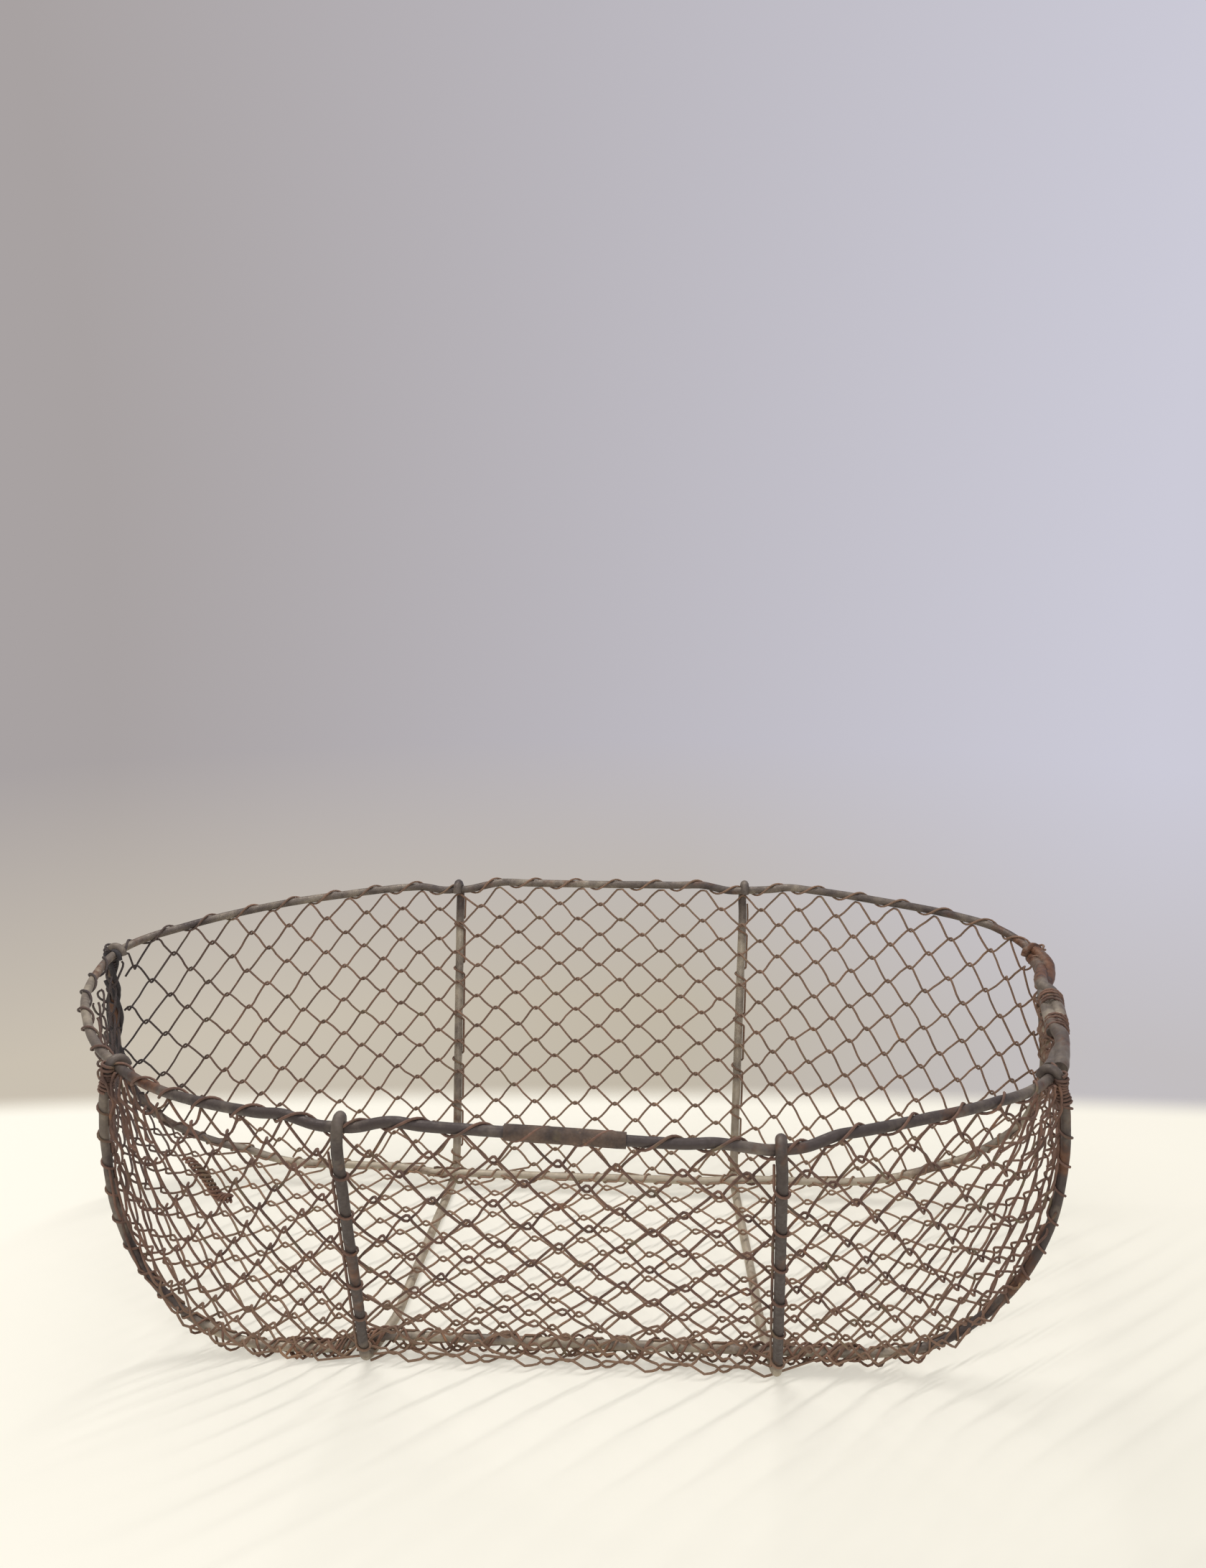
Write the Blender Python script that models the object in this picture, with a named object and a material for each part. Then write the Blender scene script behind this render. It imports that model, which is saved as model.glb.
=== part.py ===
"""Oblong wire basket: a frame of bent rod lined with diamond netting and tied with wire. Metres, +Z up.

The origin is at floor level, under the middle of the basket. +X runs along it and -Y is its front.
"""

import math

import bmesh
import bpy
import numpy as np

# Stock and fits
ROD = 0.0064
NET_WIRE = 0.0018
TIE_WIRE = 0.0016
FIT = 0.0003
HOOK_SLACK = 0.0005
PANEL_GAP = 0.002

# Rim
RIM_HEIGHT = 0.2005
RIM_WIDTH = 0.346
RIM_END_DROP = 0.0205
RIM_DIP = 0.0075
DIP_LENGTH = 0.024
FRONT_BOW = 0.003
BACK_BOW = 0.007
FRONT_REACH = 0.254
BACK_REACH = 0.316
END_REACH = 0.298
END_OFFSET = -0.005
LAP_LENGTH = 0.060
JOGGLE_LENGTH = 0.040

# Cross ribs
RIB_SPACING = 0.212
RIB_SHIFT = 0.017
RIB_SPLAY = 0.006
BASE_WIDTH = 0.194
CORNER_BEND = 0.010
HOOK_TAIL = 0.005

# Keel ribs
KEEL_INSET = 0.012
KEEL_BULGE = 0.007
FRONT_LEFT_BEND_RUN = 0.088
FRONT_LEFT_BEND_RISE = 0.100
FRONT_RIGHT_BEND_RUN = 0.104
FRONT_RIGHT_BEND_RISE = 0.112
BACK_BEND_RUN = 0.137
BACK_BEND_RISE = 0.095

# Netting: gaps are counted in half diamonds along and up each panel
BAY_CUT = 0.048
MID_GAPS = (8, 8)
BAY_GAPS = (6, 4)
FLOOR_GAPS = (8, 6)
END_GAPS = (6, 2)
END_TOP_CUT = 0.016
STRAIGHT = (1, 1)
BAY_STEPS = (3, 1)
BEND_STEPS_UP = (1, 3)

# Ties
TIE_LOOPS = 2.25
TIE_GAP = 0.0006
TIE_DROP = 0.014
LAP_TIE_OFFSET = 0.017
POINTS_PER_LOOP = 10

# Facets
ROD_SIDES = 8
TIE_SIDES = 6
BEND_STEPS = 12
HOOK_STEPS = 8
CORNER_STEPS = 4
RIM_STEP = 0.015
SMALL_SHARE = 0.01

UP = np.array([0.0, 0.0, 1.0])
ALONG = np.array([1.0, 0.0, 0.0])
ACROSS = np.array([0.0, 1.0, 0.0])
FRONT = -1
BACK = 1
LEFT = -1
RIGHT = 1

# Places that follow from the sizes above
rod_corner = ROD / 2 / math.cos(math.pi / ROD_SIDES)
hook_radius = 2 * rod_corner + FIT + HOOK_SLACK
rib_axis_height = ROD / 2
keel_height = ROD + FIT + rod_corner
keel_y = BASE_WIDTH / 2 - KEEL_INSET
rim_end_height = RIM_HEIGHT - RIM_END_DROP
tie_radius = (rod_corner + FIT + TIE_WIRE / 2) / math.cos(math.pi / POINTS_PER_LOOP)
tie_pitch = TIE_WIRE + TIE_GAP
tie_length = tie_pitch * TIE_LOOPS + TIE_WIRE
tie_corner = TIE_WIRE / 2 / math.cos(math.pi / TIE_SIDES)
net_offset = rod_corner + 2 * FIT
tied_net_offset = math.hypot(tie_radius, TIE_WIRE) + tie_corner + FIT
lap_offset = 2 * rod_corner + FIT
rib_room = rod_corner + NET_WIRE
tie_start = rod_corner + TIE_WIRE
tie_room = tie_start + tie_length + NET_WIRE
panel_share = PANEL_GAP / (FRONT_LEFT_BEND_RUN + BACK_BEND_RUN)


def unit(vector):
    return vector / np.linalg.norm(vector)


def run_of(path):
    """Distance from the start of a polyline to each of its points."""
    steps = np.linalg.norm(np.diff(path, axis=0), axis=1)
    return np.concatenate([[0.0], np.cumsum(steps)])


def point_at(path, distance):
    run = run_of(path)
    return np.array([np.interp(distance, run, path[:, axis]) for axis in range(3)])


def stretch(path, start, end):
    """The curve from one distance along a path to another, as a function of 0 to 1."""
    return lambda share: point_at(path, start + share * (end - start))


def distance_at_x(path, x):
    """Distance along a path whose x only grows to where it reaches x."""
    return float(np.interp(x, path[:, 0], run_of(path)))


def smooth_step(share):
    share = np.clip(share, 0.0, 1.0)
    return share * share * (3 - 2 * share)


def rib_x(side):
    return RIB_SHIFT + side * RIB_SPACING / 2


def rib_foot(face, side):
    """Corner at the foot of a cross rib's leg. The ribs stand a little wider apart in front than behind."""
    x = rib_x(side) - face * side * RIB_SPLAY
    return np.array([x, face * BASE_WIDTH / 2, rib_axis_height])


def keel_middle(face):
    return RIB_SHIFT if face == FRONT else 0.0


def keel_reach(face):
    return FRONT_REACH if face == FRONT else BACK_REACH


def rim_corner(face, side):
    """Where the rim crosses over the upturned end of a keel rib."""
    return np.array([keel_middle(face) + side * keel_reach(face), face * keel_y, rim_end_height])


def rim_hook(face, side):
    """Where the rim passes under the hook of a cross rib, before it is pressed down."""
    return np.array([rib_x(side), face * RIM_WIDTH / 2, RIM_HEIGHT])


def rim_middle(face):
    bow = FRONT_BOW if face == FRONT else BACK_BOW
    return np.array([RIB_SHIFT, face * (RIM_WIDTH / 2 + bow), RIM_HEIGHT])


def rim_end(side):
    return np.array([side * END_REACH, END_OFFSET, rim_end_height])


def smooth_loop(knots, step):
    """Closed smooth curve through the knots, with points about a step apart and the first repeated last."""
    ahead = np.roll(knots, -1, axis=0) - knots
    chord = np.linalg.norm(ahead, axis=1)
    slope = ahead / chord[:, None]
    before = np.roll(chord, 1)[:, None]
    after = chord[:, None]
    lean = (slope * before + np.roll(slope, 1, axis=0) * after) / (before + after)
    points = []
    for index, span in enumerate(chord):
        following = (index + 1) % len(knots)
        count = math.ceil(span / step)
        for share in np.arange(count) / count:
            rest = 1 - share
            start = knots[index] * (1 + 2 * share) + span * lean[index] * share
            end = knots[following] * (3 - 2 * share) - span * lean[following] * rest
            points.append(start * rest * rest + end * share * share)
    return np.array(points + points[:1])


def pressed_down(points):
    """The rim's points with a dip under each hook of the cross ribs."""
    away = np.min([abs(points[:, 0] - rib_x(side)) for side in (LEFT, RIGHT)], axis=0)
    dip = RIM_DIP * (1 - smooth_step((away - 2 * rod_corner) / DIP_LENGTH))
    return points - dip[:, None] * UP


def rim_loop():
    """The rim's axis as a closed ring, without dips, from the right end round by the back."""
    knots = [rim_end(RIGHT), rim_corner(BACK, RIGHT), rim_hook(BACK, RIGHT), rim_middle(BACK)]
    knots += [rim_hook(BACK, LEFT), rim_corner(BACK, LEFT), rim_end(LEFT), rim_corner(FRONT, LEFT)]
    knots += [rim_hook(FRONT, LEFT), rim_middle(FRONT), rim_hook(FRONT, RIGHT), rim_corner(FRONT, RIGHT)]
    return smooth_loop(np.array(knots), RIM_STEP / 3)


def ring_point(distance):
    """Point on the rim ring's axis, at a distance round it from the right end."""
    return point_at(ring, distance % run_of(ring)[-1])


def ring_ahead(distance):
    return unit(ring_point(distance + ROD) - ring_point(distance - ROD))


def ring_outward(distance):
    """Level direction out of the rim ring."""
    return unit(np.cross(ring_ahead(distance), UP))


def rim_distances(length):
    """Where the rim rod's rings stand: evenly, and closer at the dips, which start and end on a ring."""
    evenly = np.arange(-LAP_LENGTH / 2, length + LAP_LENGTH / 2, RIM_STEP)
    places = list(evenly) + [length + LAP_LENGTH / 2]
    for face in (FRONT, BACK):
        for side in (LEFT, RIGHT):
            hook = distance_to(rim_hook(face, side))
            places += [hook + way * 2 * rod_corner for way in (-1, 1)]
            places += [hook + way * (2 * rod_corner + DIP_LENGTH / 2) for way in (-1, 1)]
    places = np.sort(places)
    return places[np.append(True, np.diff(places) > ROD / 2)]


def distance_to(place):
    """Distance along the rim ring to its point nearest a place."""
    nearest = np.argmin(np.linalg.norm(ring - place, axis=1))
    return run_of(ring)[nearest]


def rim_path():
    """The rim rod's axis: once round and past its own start, which lies inside the finish as a lap."""
    length = run_of(ring)[-1]
    places = rim_distances(length)
    points = np.array([ring_point(place) for place in places])
    outward = np.array([ring_outward(place) for place in places])
    inside = 1 - smooth_step((places - LAP_LENGTH / 2 - ROD) / JOGGLE_LENGTH)
    return pressed_down(points - lap_offset * inside[:, None] * outward)


def hook_over(centre, outward, lean, tail):
    """Points from the end of a hook's tail, over the rim at centre, to where the leg leaves on its outside."""
    points = [centre - outward * hook_radius - UP * tail]
    for turn in np.linspace(math.pi, -lean, HOOK_STEPS + 1):
        points.append(centre + hook_radius * (outward * math.cos(turn) + UP * math.sin(turn)))
    return points


def bend(before, corner, after, radius, steps):
    """Arc that rounds a corner between two straight runs."""
    back = unit(before - corner)
    on = unit(after - corner)
    half = math.acos(np.clip(back @ on, -1, 1)) / 2
    centre = corner + unit(back + on) * radius / math.sin(half)
    first = corner + back * radius / math.tan(half) - centre
    last = corner + on * radius / math.tan(half) - centre
    sweep = math.pi - 2 * half
    shares = np.linspace(0.0, 1.0, steps + 1)
    return [
        centre + (first * math.sin((1 - share) * sweep) + last * math.sin(share * sweep)) / math.sin(sweep)
        for share in shares
    ]


def cross_rib_path(side):
    """A cross rib's axis, from the front tail over the rim, down, across the floor and up at the back."""
    drop = RIM_HEIGHT - RIM_DIP
    halves = []
    for face in (FRONT, BACK):
        centre = rim_hook(face, side) - RIM_DIP * UP
        outward = np.array([0.0, face, 0.0])
        foot = rib_foot(face, side)
        lean = math.atan((RIM_WIDTH / 2 + hook_radius - BASE_WIDTH / 2) / (drop - rib_axis_height))
        hook = hook_over(centre, outward, lean, HOOK_TAIL)
        halves.append(hook + bend(hook[-1], foot, rib_foot(-face, side), CORNER_BEND, CORNER_STEPS))
    return np.array(halves[0] + halves[1][::-1])


def bend_size(face, side):
    """How far along and how high a keel rib's end is bent. The front one is bent tighter on the left."""
    if face == BACK:
        return BACK_BEND_RUN, BACK_BEND_RISE
    if side == LEFT:
        return FRONT_LEFT_BEND_RUN, FRONT_LEFT_BEND_RISE
    return FRONT_RIGHT_BEND_RUN, FRONT_RIGHT_BEND_RISE


def keel_bend(face, side):
    """A keel rib's rounded end: a quarter of an ellipse from its upright down to its straight run."""
    run, rise = bend_size(face, side)
    middle = keel_middle(face) + side * (keel_reach(face) + KEEL_BULGE - run)
    points = []
    for turn in np.linspace(0.0, math.pi / 2, BEND_STEPS + 1):
        x = middle + side * run * math.cos(turn)
        z = keel_height + rise * (1 - math.sin(turn))
        points.append(np.array([x, face * keel_y, z]))
    return points


def keel_hook(face, side):
    """A keel rib's hooked tip, from its tail to the top of its upright outside the rim."""
    corner = rim_corner(face, side)
    return hook_over(corner, ring_outward(distance_to(corner)), 0.0, HOOK_TAIL)


def keel_run(face):
    """A keel rib's axis between its two uprights, from left to right."""
    return np.array(keel_bend(face, LEFT) + keel_bend(face, RIGHT)[::-1])


def keel_path(face):
    return np.array(keel_hook(face, LEFT) + list(keel_run(face)) + keel_hook(face, RIGHT)[::-1])


def tangents(path):
    steps = np.diff(path, axis=0)
    steps /= np.linalg.norm(steps, axis=1)[:, None]
    ahead = np.vstack([steps[:1], steps[:-1] + steps[1:], steps[-1:]])
    return ahead / np.linalg.norm(ahead, axis=1)[:, None]


def add_object(name, mesh, material):
    data = bpy.data.meshes.new(name)
    mesh.to_mesh(data)
    mesh.free()
    data.materials.append(material)
    part = bpy.data.objects.new(name, data)
    bpy.context.collection.objects.link(part)
    part.parent = basket
    return part


def tube(name, path, diameter, sides, across, material):
    """Closed tube along a polyline, measured across its flats, one of which faces across wherever it can."""
    mesh = bmesh.new()
    turns = 2 * math.pi * (np.arange(sides) + 0.5) / sides
    corner = diameter / 2 / math.cos(math.pi / sides)
    rings = []
    for point, ahead in zip(path, tangents(path)):
        flat = unit(across - ahead * (across @ ahead))
        up = np.cross(ahead, flat)
        spokes = [flat * math.cos(turn) + up * math.sin(turn) for turn in turns]
        rings.append([mesh.verts.new(point + corner * spoke) for spoke in spokes])
    for first, second in zip(rings, rings[1:]):
        for index in range(sides):
            mesh.faces.new((first[index - 1], first[index], second[index], second[index - 1]))
    mesh.faces.new(rings[0])
    mesh.faces.new(rings[-1])
    bmesh.ops.recalc_face_normals(mesh, faces=mesh.faces)
    part = add_object(name, mesh, material)
    part.data.shade_smooth()
    part.data.set_sharp_from_angle(angle=math.radians(60))
    return part


def border_points(place, start, end, steps):
    """Extra corners of a gap on a panel's border, between its two knots there."""
    shares = np.arange(1, steps) / steps
    return [place(*(start + share * (end - start))) for share in shares]


def gap_corners(mesh, knots, place, gaps, middle, steps):
    """A gap's corners in turn: its knots and, where it lies on the border, the points that follow the rod.

    A gap in the panel's own corner is a triangle with its right angle there.
    """
    column, row = middle
    around = [(column - 1, row), (column, row - 1), (column + 1, row), middle, (column, row + 1)]
    around = [knot for knot in around if knot in knots]
    corners = []
    for knot, following in zip(around, around[1:] + around[:1]):
        corners.append(knots[knot])
        across_border = knot[0] == following[0]
        along_border = knot[1] == following[1]
        if across_border or along_border:
            start = np.array(knot) / gaps
            end = np.array(following) / gaps
            extra = border_points(place, start, end, steps[0] if along_border else steps[1])
            corners += [mesh.verts.new(point) for point in extra]
    return corners


def net(name, place, gaps, steps, material):
    """Sheet of netting with diamond gaps. place gives the point at a share along and a share up the panel.

    steps are the straight pieces that each gap has on the panel's lower and upper border, and on its sides.
    """
    columns, rows = gaps
    mesh = bmesh.new()
    knots = {}
    for column in range(columns + 1):
        for row in range(rows + 1):
            in_corner = column in (0, columns) and row in (0, rows)
            if (column + row) % 2 == 0 or in_corner:
                knots[column, row] = mesh.verts.new(place(column / columns, row / rows))
    for column in range(columns + 1):
        for row in range(1 - column % 2, rows + 1, 2):
            mesh.faces.new(gap_corners(mesh, knots, place, gaps, (column, row), steps))
    cells = mesh.faces[:]
    mesh.normal_update()
    bmesh.ops.inset_individual(mesh, faces=cells, thickness=NET_WIRE / 2, use_even_offset=True)
    bmesh.ops.delete(mesh, geom=cells, context="FACES_ONLY")
    part = add_object(name, mesh, material)
    thickness = part.modifiers.new("wire thickness", "SOLIDIFY")
    thickness.thickness = NET_WIRE
    thickness.offset = 0.0
    return part


def clear_of_rod(curve, towards, distance):
    """A border moved off its rod towards the panel's other border, to a distance square to the rod."""

    def border(share):
        ahead = unit(curve(share + SMALL_SHARE) - curve(share - SMALL_SHARE))
        ruling_way = unit(towards(share) - curve(share))
        square = np.linalg.norm(np.cross(ahead, ruling_way))
        return curve(share) + ruling_way * distance / square

    return border


def between(lower, upper):
    """Panel ruled straight between two borders."""
    return lambda along, up: (1 - up) * lower(along) + up * upper(along)


def side_bay(name, keel, rim, gaps, steps, material):
    """Netting between a stretch of a keel rib and the stretch of rim over it."""
    lower = clear_of_rod(keel, rim, net_offset)
    upper = clear_of_rod(rim, keel, net_offset + RIM_DIP)
    return net(name, between(lower, upper), gaps, steps, material)


def side_nets(face, label, material):
    """The left, middle and right netting of one long side."""
    keel = keel_run(face)
    rim = ring[np.argsort(ring[:, 0])]
    rim = rim[rim[:, 1] * face > keel_y]
    keel_left, keel_right = (rib_foot(face, side)[0] for side in (LEFT, RIGHT))
    rim_left, rim_right = (rib_x(side) for side in (LEFT, RIGHT))

    def on_keel(x):
        return distance_at_x(keel, x)

    def on_rim(x):
        return distance_at_x(rim, x)

    side_bay(
        label + "_left_net",
        stretch(keel, 0.0, on_keel(keel_left - rib_room)),
        stretch(rim, on_rim(rim_corner(face, LEFT)[0]) + BAY_CUT, on_rim(rim_left - rib_room)),
        BAY_GAPS,
        BAY_STEPS,
        material,
    )
    side_bay(
        label + "_middle_net",
        stretch(keel, on_keel(keel_left + tie_room), on_keel(keel_right - tie_room)),
        stretch(rim, on_rim(rim_left + tie_room), on_rim(rim_right - tie_room)),
        MID_GAPS,
        STRAIGHT,
        material,
    )
    side_bay(
        label + "_right_net",
        stretch(keel, on_keel(keel_right + rib_room), run_of(keel)[-1]),
        stretch(rim, on_rim(rim_right + rib_room), on_rim(rim_corner(face, RIGHT)[0]) - BAY_CUT),
        BAY_GAPS,
        BAY_STEPS,
        material,
    )


def bend_distance(face, side, share):
    """Distance along a keel's run to a share of the way up one of its bends."""
    bend_length = run_of(np.array(keel_bend(face, side)))[-1]
    if side == LEFT:
        return bend_length * (1 - share)
    return run_of(keel_run(face))[-1] - bend_length * (1 - share)


def ruling_point(side, share, along, inset):
    """Point on the line across the basket between the two keels, part way up a bend and off both rods."""
    ends = [point_at(keel_run(face), bend_distance(face, side, share)) for face in (FRONT, BACK)]
    off = inset * unit(ends[1] - ends[0])
    return ends[0] + off + along * (ends[1] - ends[0] - 2 * off)


def floor_net(material):
    """Level netting between the keels' straight runs, over the base runs of the cross ribs."""

    def place(along, across):
        left = ruling_point(LEFT, -panel_share, across, tied_net_offset)
        right = ruling_point(RIGHT, -panel_share, across, tied_net_offset)
        return left + along * (right - left)

    net("floor_net", place, FLOOR_GAPS, STRAIGHT, material)


def end_nets(side, label, material):
    """The netting of one end: two panels round the bend and an upright one under the rim."""

    def bend_panel(low, high):
        start = low + panel_share
        end = high - panel_share
        return lambda along, up: ruling_point(side, start + up * (end - start), along, net_offset)

    net(label + "_end_low_net", bend_panel(0.0, 0.5), END_GAPS, BEND_STEPS_UP, material)
    net(label + "_end_high_net", bend_panel(0.5, 1.0), END_GAPS, BEND_STEPS_UP, material)
    start = distance_to(rim_corner(FRONT, side))
    end = distance_to(rim_corner(BACK, side))
    if side == RIGHT:
        start -= run_of(ring)[-1]
    cut = math.copysign(END_TOP_CUT, end - start)

    drop = tied_net_offset + FIT if side == RIGHT else net_offset

    def under_rim(along):
        place = start + cut + along * (end - start - 2 * cut)
        return ring_point(place) - drop * UP

    def over_bend(along):
        return ruling_point(side, 1.0, along, tied_net_offset) + PANEL_GAP / 2 * UP

    net(label + "_end_upright_net", between(over_bend, under_rim), END_GAPS, STRAIGHT, material)


def self_gap(path):
    """Least gap between one loop of a tie and another, measured on its points."""
    apart = np.linalg.norm(path[:, None] - path[None], axis=2)
    index = np.arange(len(path))
    far = abs(index[:, None] - index[None]) > POINTS_PER_LOOP / 2
    return apart[far].min() - TIE_WIRE


def tie(name, axis_point, ahead, across, width, radius, material):
    """Wire wound round a rod, or two that lie a width apart across, from a point on the first one's axis."""
    up = np.cross(ahead, across)
    points = []
    for turn in np.arange(round(TIE_LOOPS * POINTS_PER_LOOP) + 1) / POINTS_PER_LOOP:
        angle = 2 * math.pi * (turn + 0.5 / POINTS_PER_LOOP)
        side = radius * math.cos(angle) - (width if math.cos(angle) < 0 else 0.0)
        point = axis_point + ahead * tie_pitch * turn + across * side + up * radius * math.sin(angle)
        points.append(point)
    points = np.array(points)
    ends = tangents(points)
    path = np.vstack([points[0] - TIE_WIRE * ends[0], points, points[-1] + TIE_WIRE * ends[-1]])
    print(f"{name}: least gap to itself {1000 * self_gap(points):.2f} mm")
    return tube(name, path, TIE_WIRE, TIE_SIDES, ahead, material)


def keel_ties(face, side, label, material):
    """A tie beside the crossing with a cross rib, and one on the upright under the rim."""
    inward = -side * ALONG
    crossing = np.array([rib_foot(face, side)[0], face * keel_y, keel_height])
    tie(label + "_keel_tie", crossing + inward * tie_start, inward, UP, 0.0, tie_radius, material)
    top = keel_hook(face, side)[-1]
    down = unit(keel_bend(face, side)[0] - top)
    across = unit(np.cross(down, ALONG))
    tie(label + "_corner_tie", top + down * TIE_DROP, down, across, 0.0, tie_radius, material)


def lap_ties(material):
    """Two ties round the lapped ends of the rim."""
    for name, place in (("front", -LAP_TIE_OFFSET), ("back", LAP_TIE_OFFSET)):
        ahead = ring_ahead(place)
        start = ring_point(place) - ahead * tie_length / 2
        radius = tie_radius + FIT
        tie("rim_lap_" + name + "_tie", start, ahead, ring_outward(place), lap_offset, radius, material)


def finish(name, colour, roughness, metallic):
    material = bpy.data.materials.new(name)
    material.use_nodes = True
    shader = material.node_tree.nodes["Principled BSDF"]
    shader.inputs["Base Color"].default_value = (*colour, 1.0)
    shader.inputs["Roughness"].default_value = roughness
    shader.inputs["Metallic"].default_value = metallic
    return material


def build():
    rod = finish("galvanised rod", (0.22, 0.21, 0.20), 0.55, 0.8)
    wire = finish("rusted net wire", (0.10, 0.045, 0.03), 0.85, 0.2)
    binding = finish("rusted tie wire", (0.16, 0.06, 0.03), 0.85, 0.2)
    tube("rim", rim_path(), ROD, ROD_SIDES, UP, rod)
    for side, label in ((LEFT, "left"), (RIGHT, "right")):
        tube(label + "_cross_rib", cross_rib_path(side), ROD, ROD_SIDES, ALONG, rod)
        end_nets(side, label, wire)
    for face, label in ((FRONT, "front"), (BACK, "back")):
        tube(label + "_keel_rib", keel_path(face), ROD, ROD_SIDES, ACROSS, rod)
        side_nets(face, label, wire)
        for side, end in ((LEFT, "left"), (RIGHT, "right")):
            keel_ties(face, side, label + "_" + end, binding)
    floor_net(wire)
    lap_ties(binding)


for leftover in list(bpy.data.objects):
    bpy.data.objects.remove(leftover)
basket = bpy.data.objects.new("basket", None)
bpy.context.collection.objects.link(basket)
ring = rim_loop()
build()
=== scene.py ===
"""Looks of the wire basket: weathered rods, rusted chain-link netting and the wire that binds them.

Metres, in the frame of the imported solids: +X along the basket, -Y its front, the floor at Z 0.
"""

import math

import bmesh
import bpy
import numpy as np
from mathutils import Matrix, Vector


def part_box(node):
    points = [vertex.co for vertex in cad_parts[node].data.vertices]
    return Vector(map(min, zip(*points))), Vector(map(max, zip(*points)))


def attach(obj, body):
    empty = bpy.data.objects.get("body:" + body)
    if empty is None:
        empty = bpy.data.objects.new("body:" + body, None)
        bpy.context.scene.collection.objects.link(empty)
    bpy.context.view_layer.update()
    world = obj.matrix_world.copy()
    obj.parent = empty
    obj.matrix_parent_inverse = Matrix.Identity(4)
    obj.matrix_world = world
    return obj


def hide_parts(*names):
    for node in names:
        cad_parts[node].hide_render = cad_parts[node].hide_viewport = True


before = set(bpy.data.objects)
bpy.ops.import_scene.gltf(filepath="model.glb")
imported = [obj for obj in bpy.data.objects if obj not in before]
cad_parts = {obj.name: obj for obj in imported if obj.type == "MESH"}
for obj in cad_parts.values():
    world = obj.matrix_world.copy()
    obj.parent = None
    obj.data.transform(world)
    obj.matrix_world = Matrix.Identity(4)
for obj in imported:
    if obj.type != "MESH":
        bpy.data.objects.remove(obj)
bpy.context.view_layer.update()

FRONT = -1
BACK = 1
LEFT = -1
RIGHT = 1
FACES = {"front": FRONT, "back": BACK}
SIDES = {"left": LEFT, "right": RIGHT}
CORNERS = {face + "_" + side: (FACES[face], SIDES[side]) for face in FACES for side in SIDES}
UP = np.array([0.0, 0.0, 1.0])
ALONG = np.array([1.0, 0.0, 0.0])
ACROSS = np.array([0.0, 1.0, 0.0])

# Rods
RIM_RADIUS = 0.0027
RIB_RADIUS = 0.0029
KEEL_RADIUS = 0.0027
ROD_SIDES = 16
ROD_STEP = 0.002
ROD_WANDER = 0.0010
WANDER_SCALE = 14.0
BEND_SMOOTHING = 4
ROD_PITTING = 0.10
ROD_PIT_SCALE = 160.0

# Bending: the rim's shift along X and its drop, at shares of the way round from its lap
RIM_BENDS = (
    (0.000, 0.0035, -0.0070),
    (0.025, 0.0, -0.0070),
    (0.050, -0.0030, -0.0075),
    (0.072, -0.0075, -0.0080),
    (0.100, 0.0, -0.0090),
    (0.150, 0.0, -0.0050),
    (0.190, 0.0, -0.0030),
    (0.201, 0.0, -0.0050),
    (0.219, 0.0, 0.0015),
    (0.235, 0.0, 0.0035),
    (0.300, 0.0, 0.0035),
    (0.318, 0.0, 0.0015),
    (0.332, 0.0, -0.0005),
    (0.350, 0.0, 0.0025),
    (0.400, 0.0, 0.0042),
    (0.450, 0.0, 0.0078),
    (0.500, 0.0035, 0.0060),
    (0.550, 0.0055, 0.0025),
    (0.580, 0.0010, 0.0015),
    (0.675, 0.0, 0.0010),
    (0.688, 0.0, -0.0020),
    (0.702, 0.0, -0.0045),
    (0.714, 0.0, -0.0040),
    (0.726, 0.0, -0.0004),
    (0.800, 0.0, 0.0050),
    (0.825, 0.0, 0.0004),
    (0.850, 0.0, 0.0),
    (0.875, 0.0, -0.0056),
    (0.900, 0.0, -0.0085),
    (0.950, 0.0, -0.0070),
    (0.975, 0.0035, -0.0070),
    (1.000, 0.0, -0.0070),
)
# The keel ribs' bulge out of the basket at heights on their ends, and the front one's forward left bend
KEEL_BULGES = {
    (FRONT, LEFT): ((0.010, 0.0050), (0.050, 0.0065), (0.080, 0.0042), (0.140, 0.0042), (0.180, 0.0)),
    (FRONT, RIGHT): ((0.010, 0.0), (0.020, 0.0042), (0.140, 0.0045), (0.180, 0.0)),
    (BACK, LEFT): (
        (0.010, -0.0040),
        (0.016, -0.0090),
        (0.034, -0.0045),
        (0.045, -0.0020),
        (0.150, -0.0020),
        (0.180, 0.0),
    ),
    (BACK, RIGHT): (
        (0.010, -0.0020),
        (0.024, -0.0020),
        (0.036, 0.0015),
        (0.065, 0.0070),
        (0.110, 0.0040),
        (0.150, 0.0),
    ),
}
BULGE_START = (0.095, 0.125)
LOW_FORWARD = {(FRONT, LEFT): 0.0060}
LOW_HEIGHTS = (0.012, 0.050)
# The front legs' feet and hooks are shifted along X, and all hooks close on the rim
FOOT_SHIFT = {LEFT: -0.0078, RIGHT: 0.0037}
HOOK_SHIFT = {LEFT: 0.0020, RIGHT: -0.0017}
FOOT_BEND = (0.060, 0.098)
HOOK_OPEN = 0.0078
HOOK_GRIP = 0.0055
HOOK_END = 0.018

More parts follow.
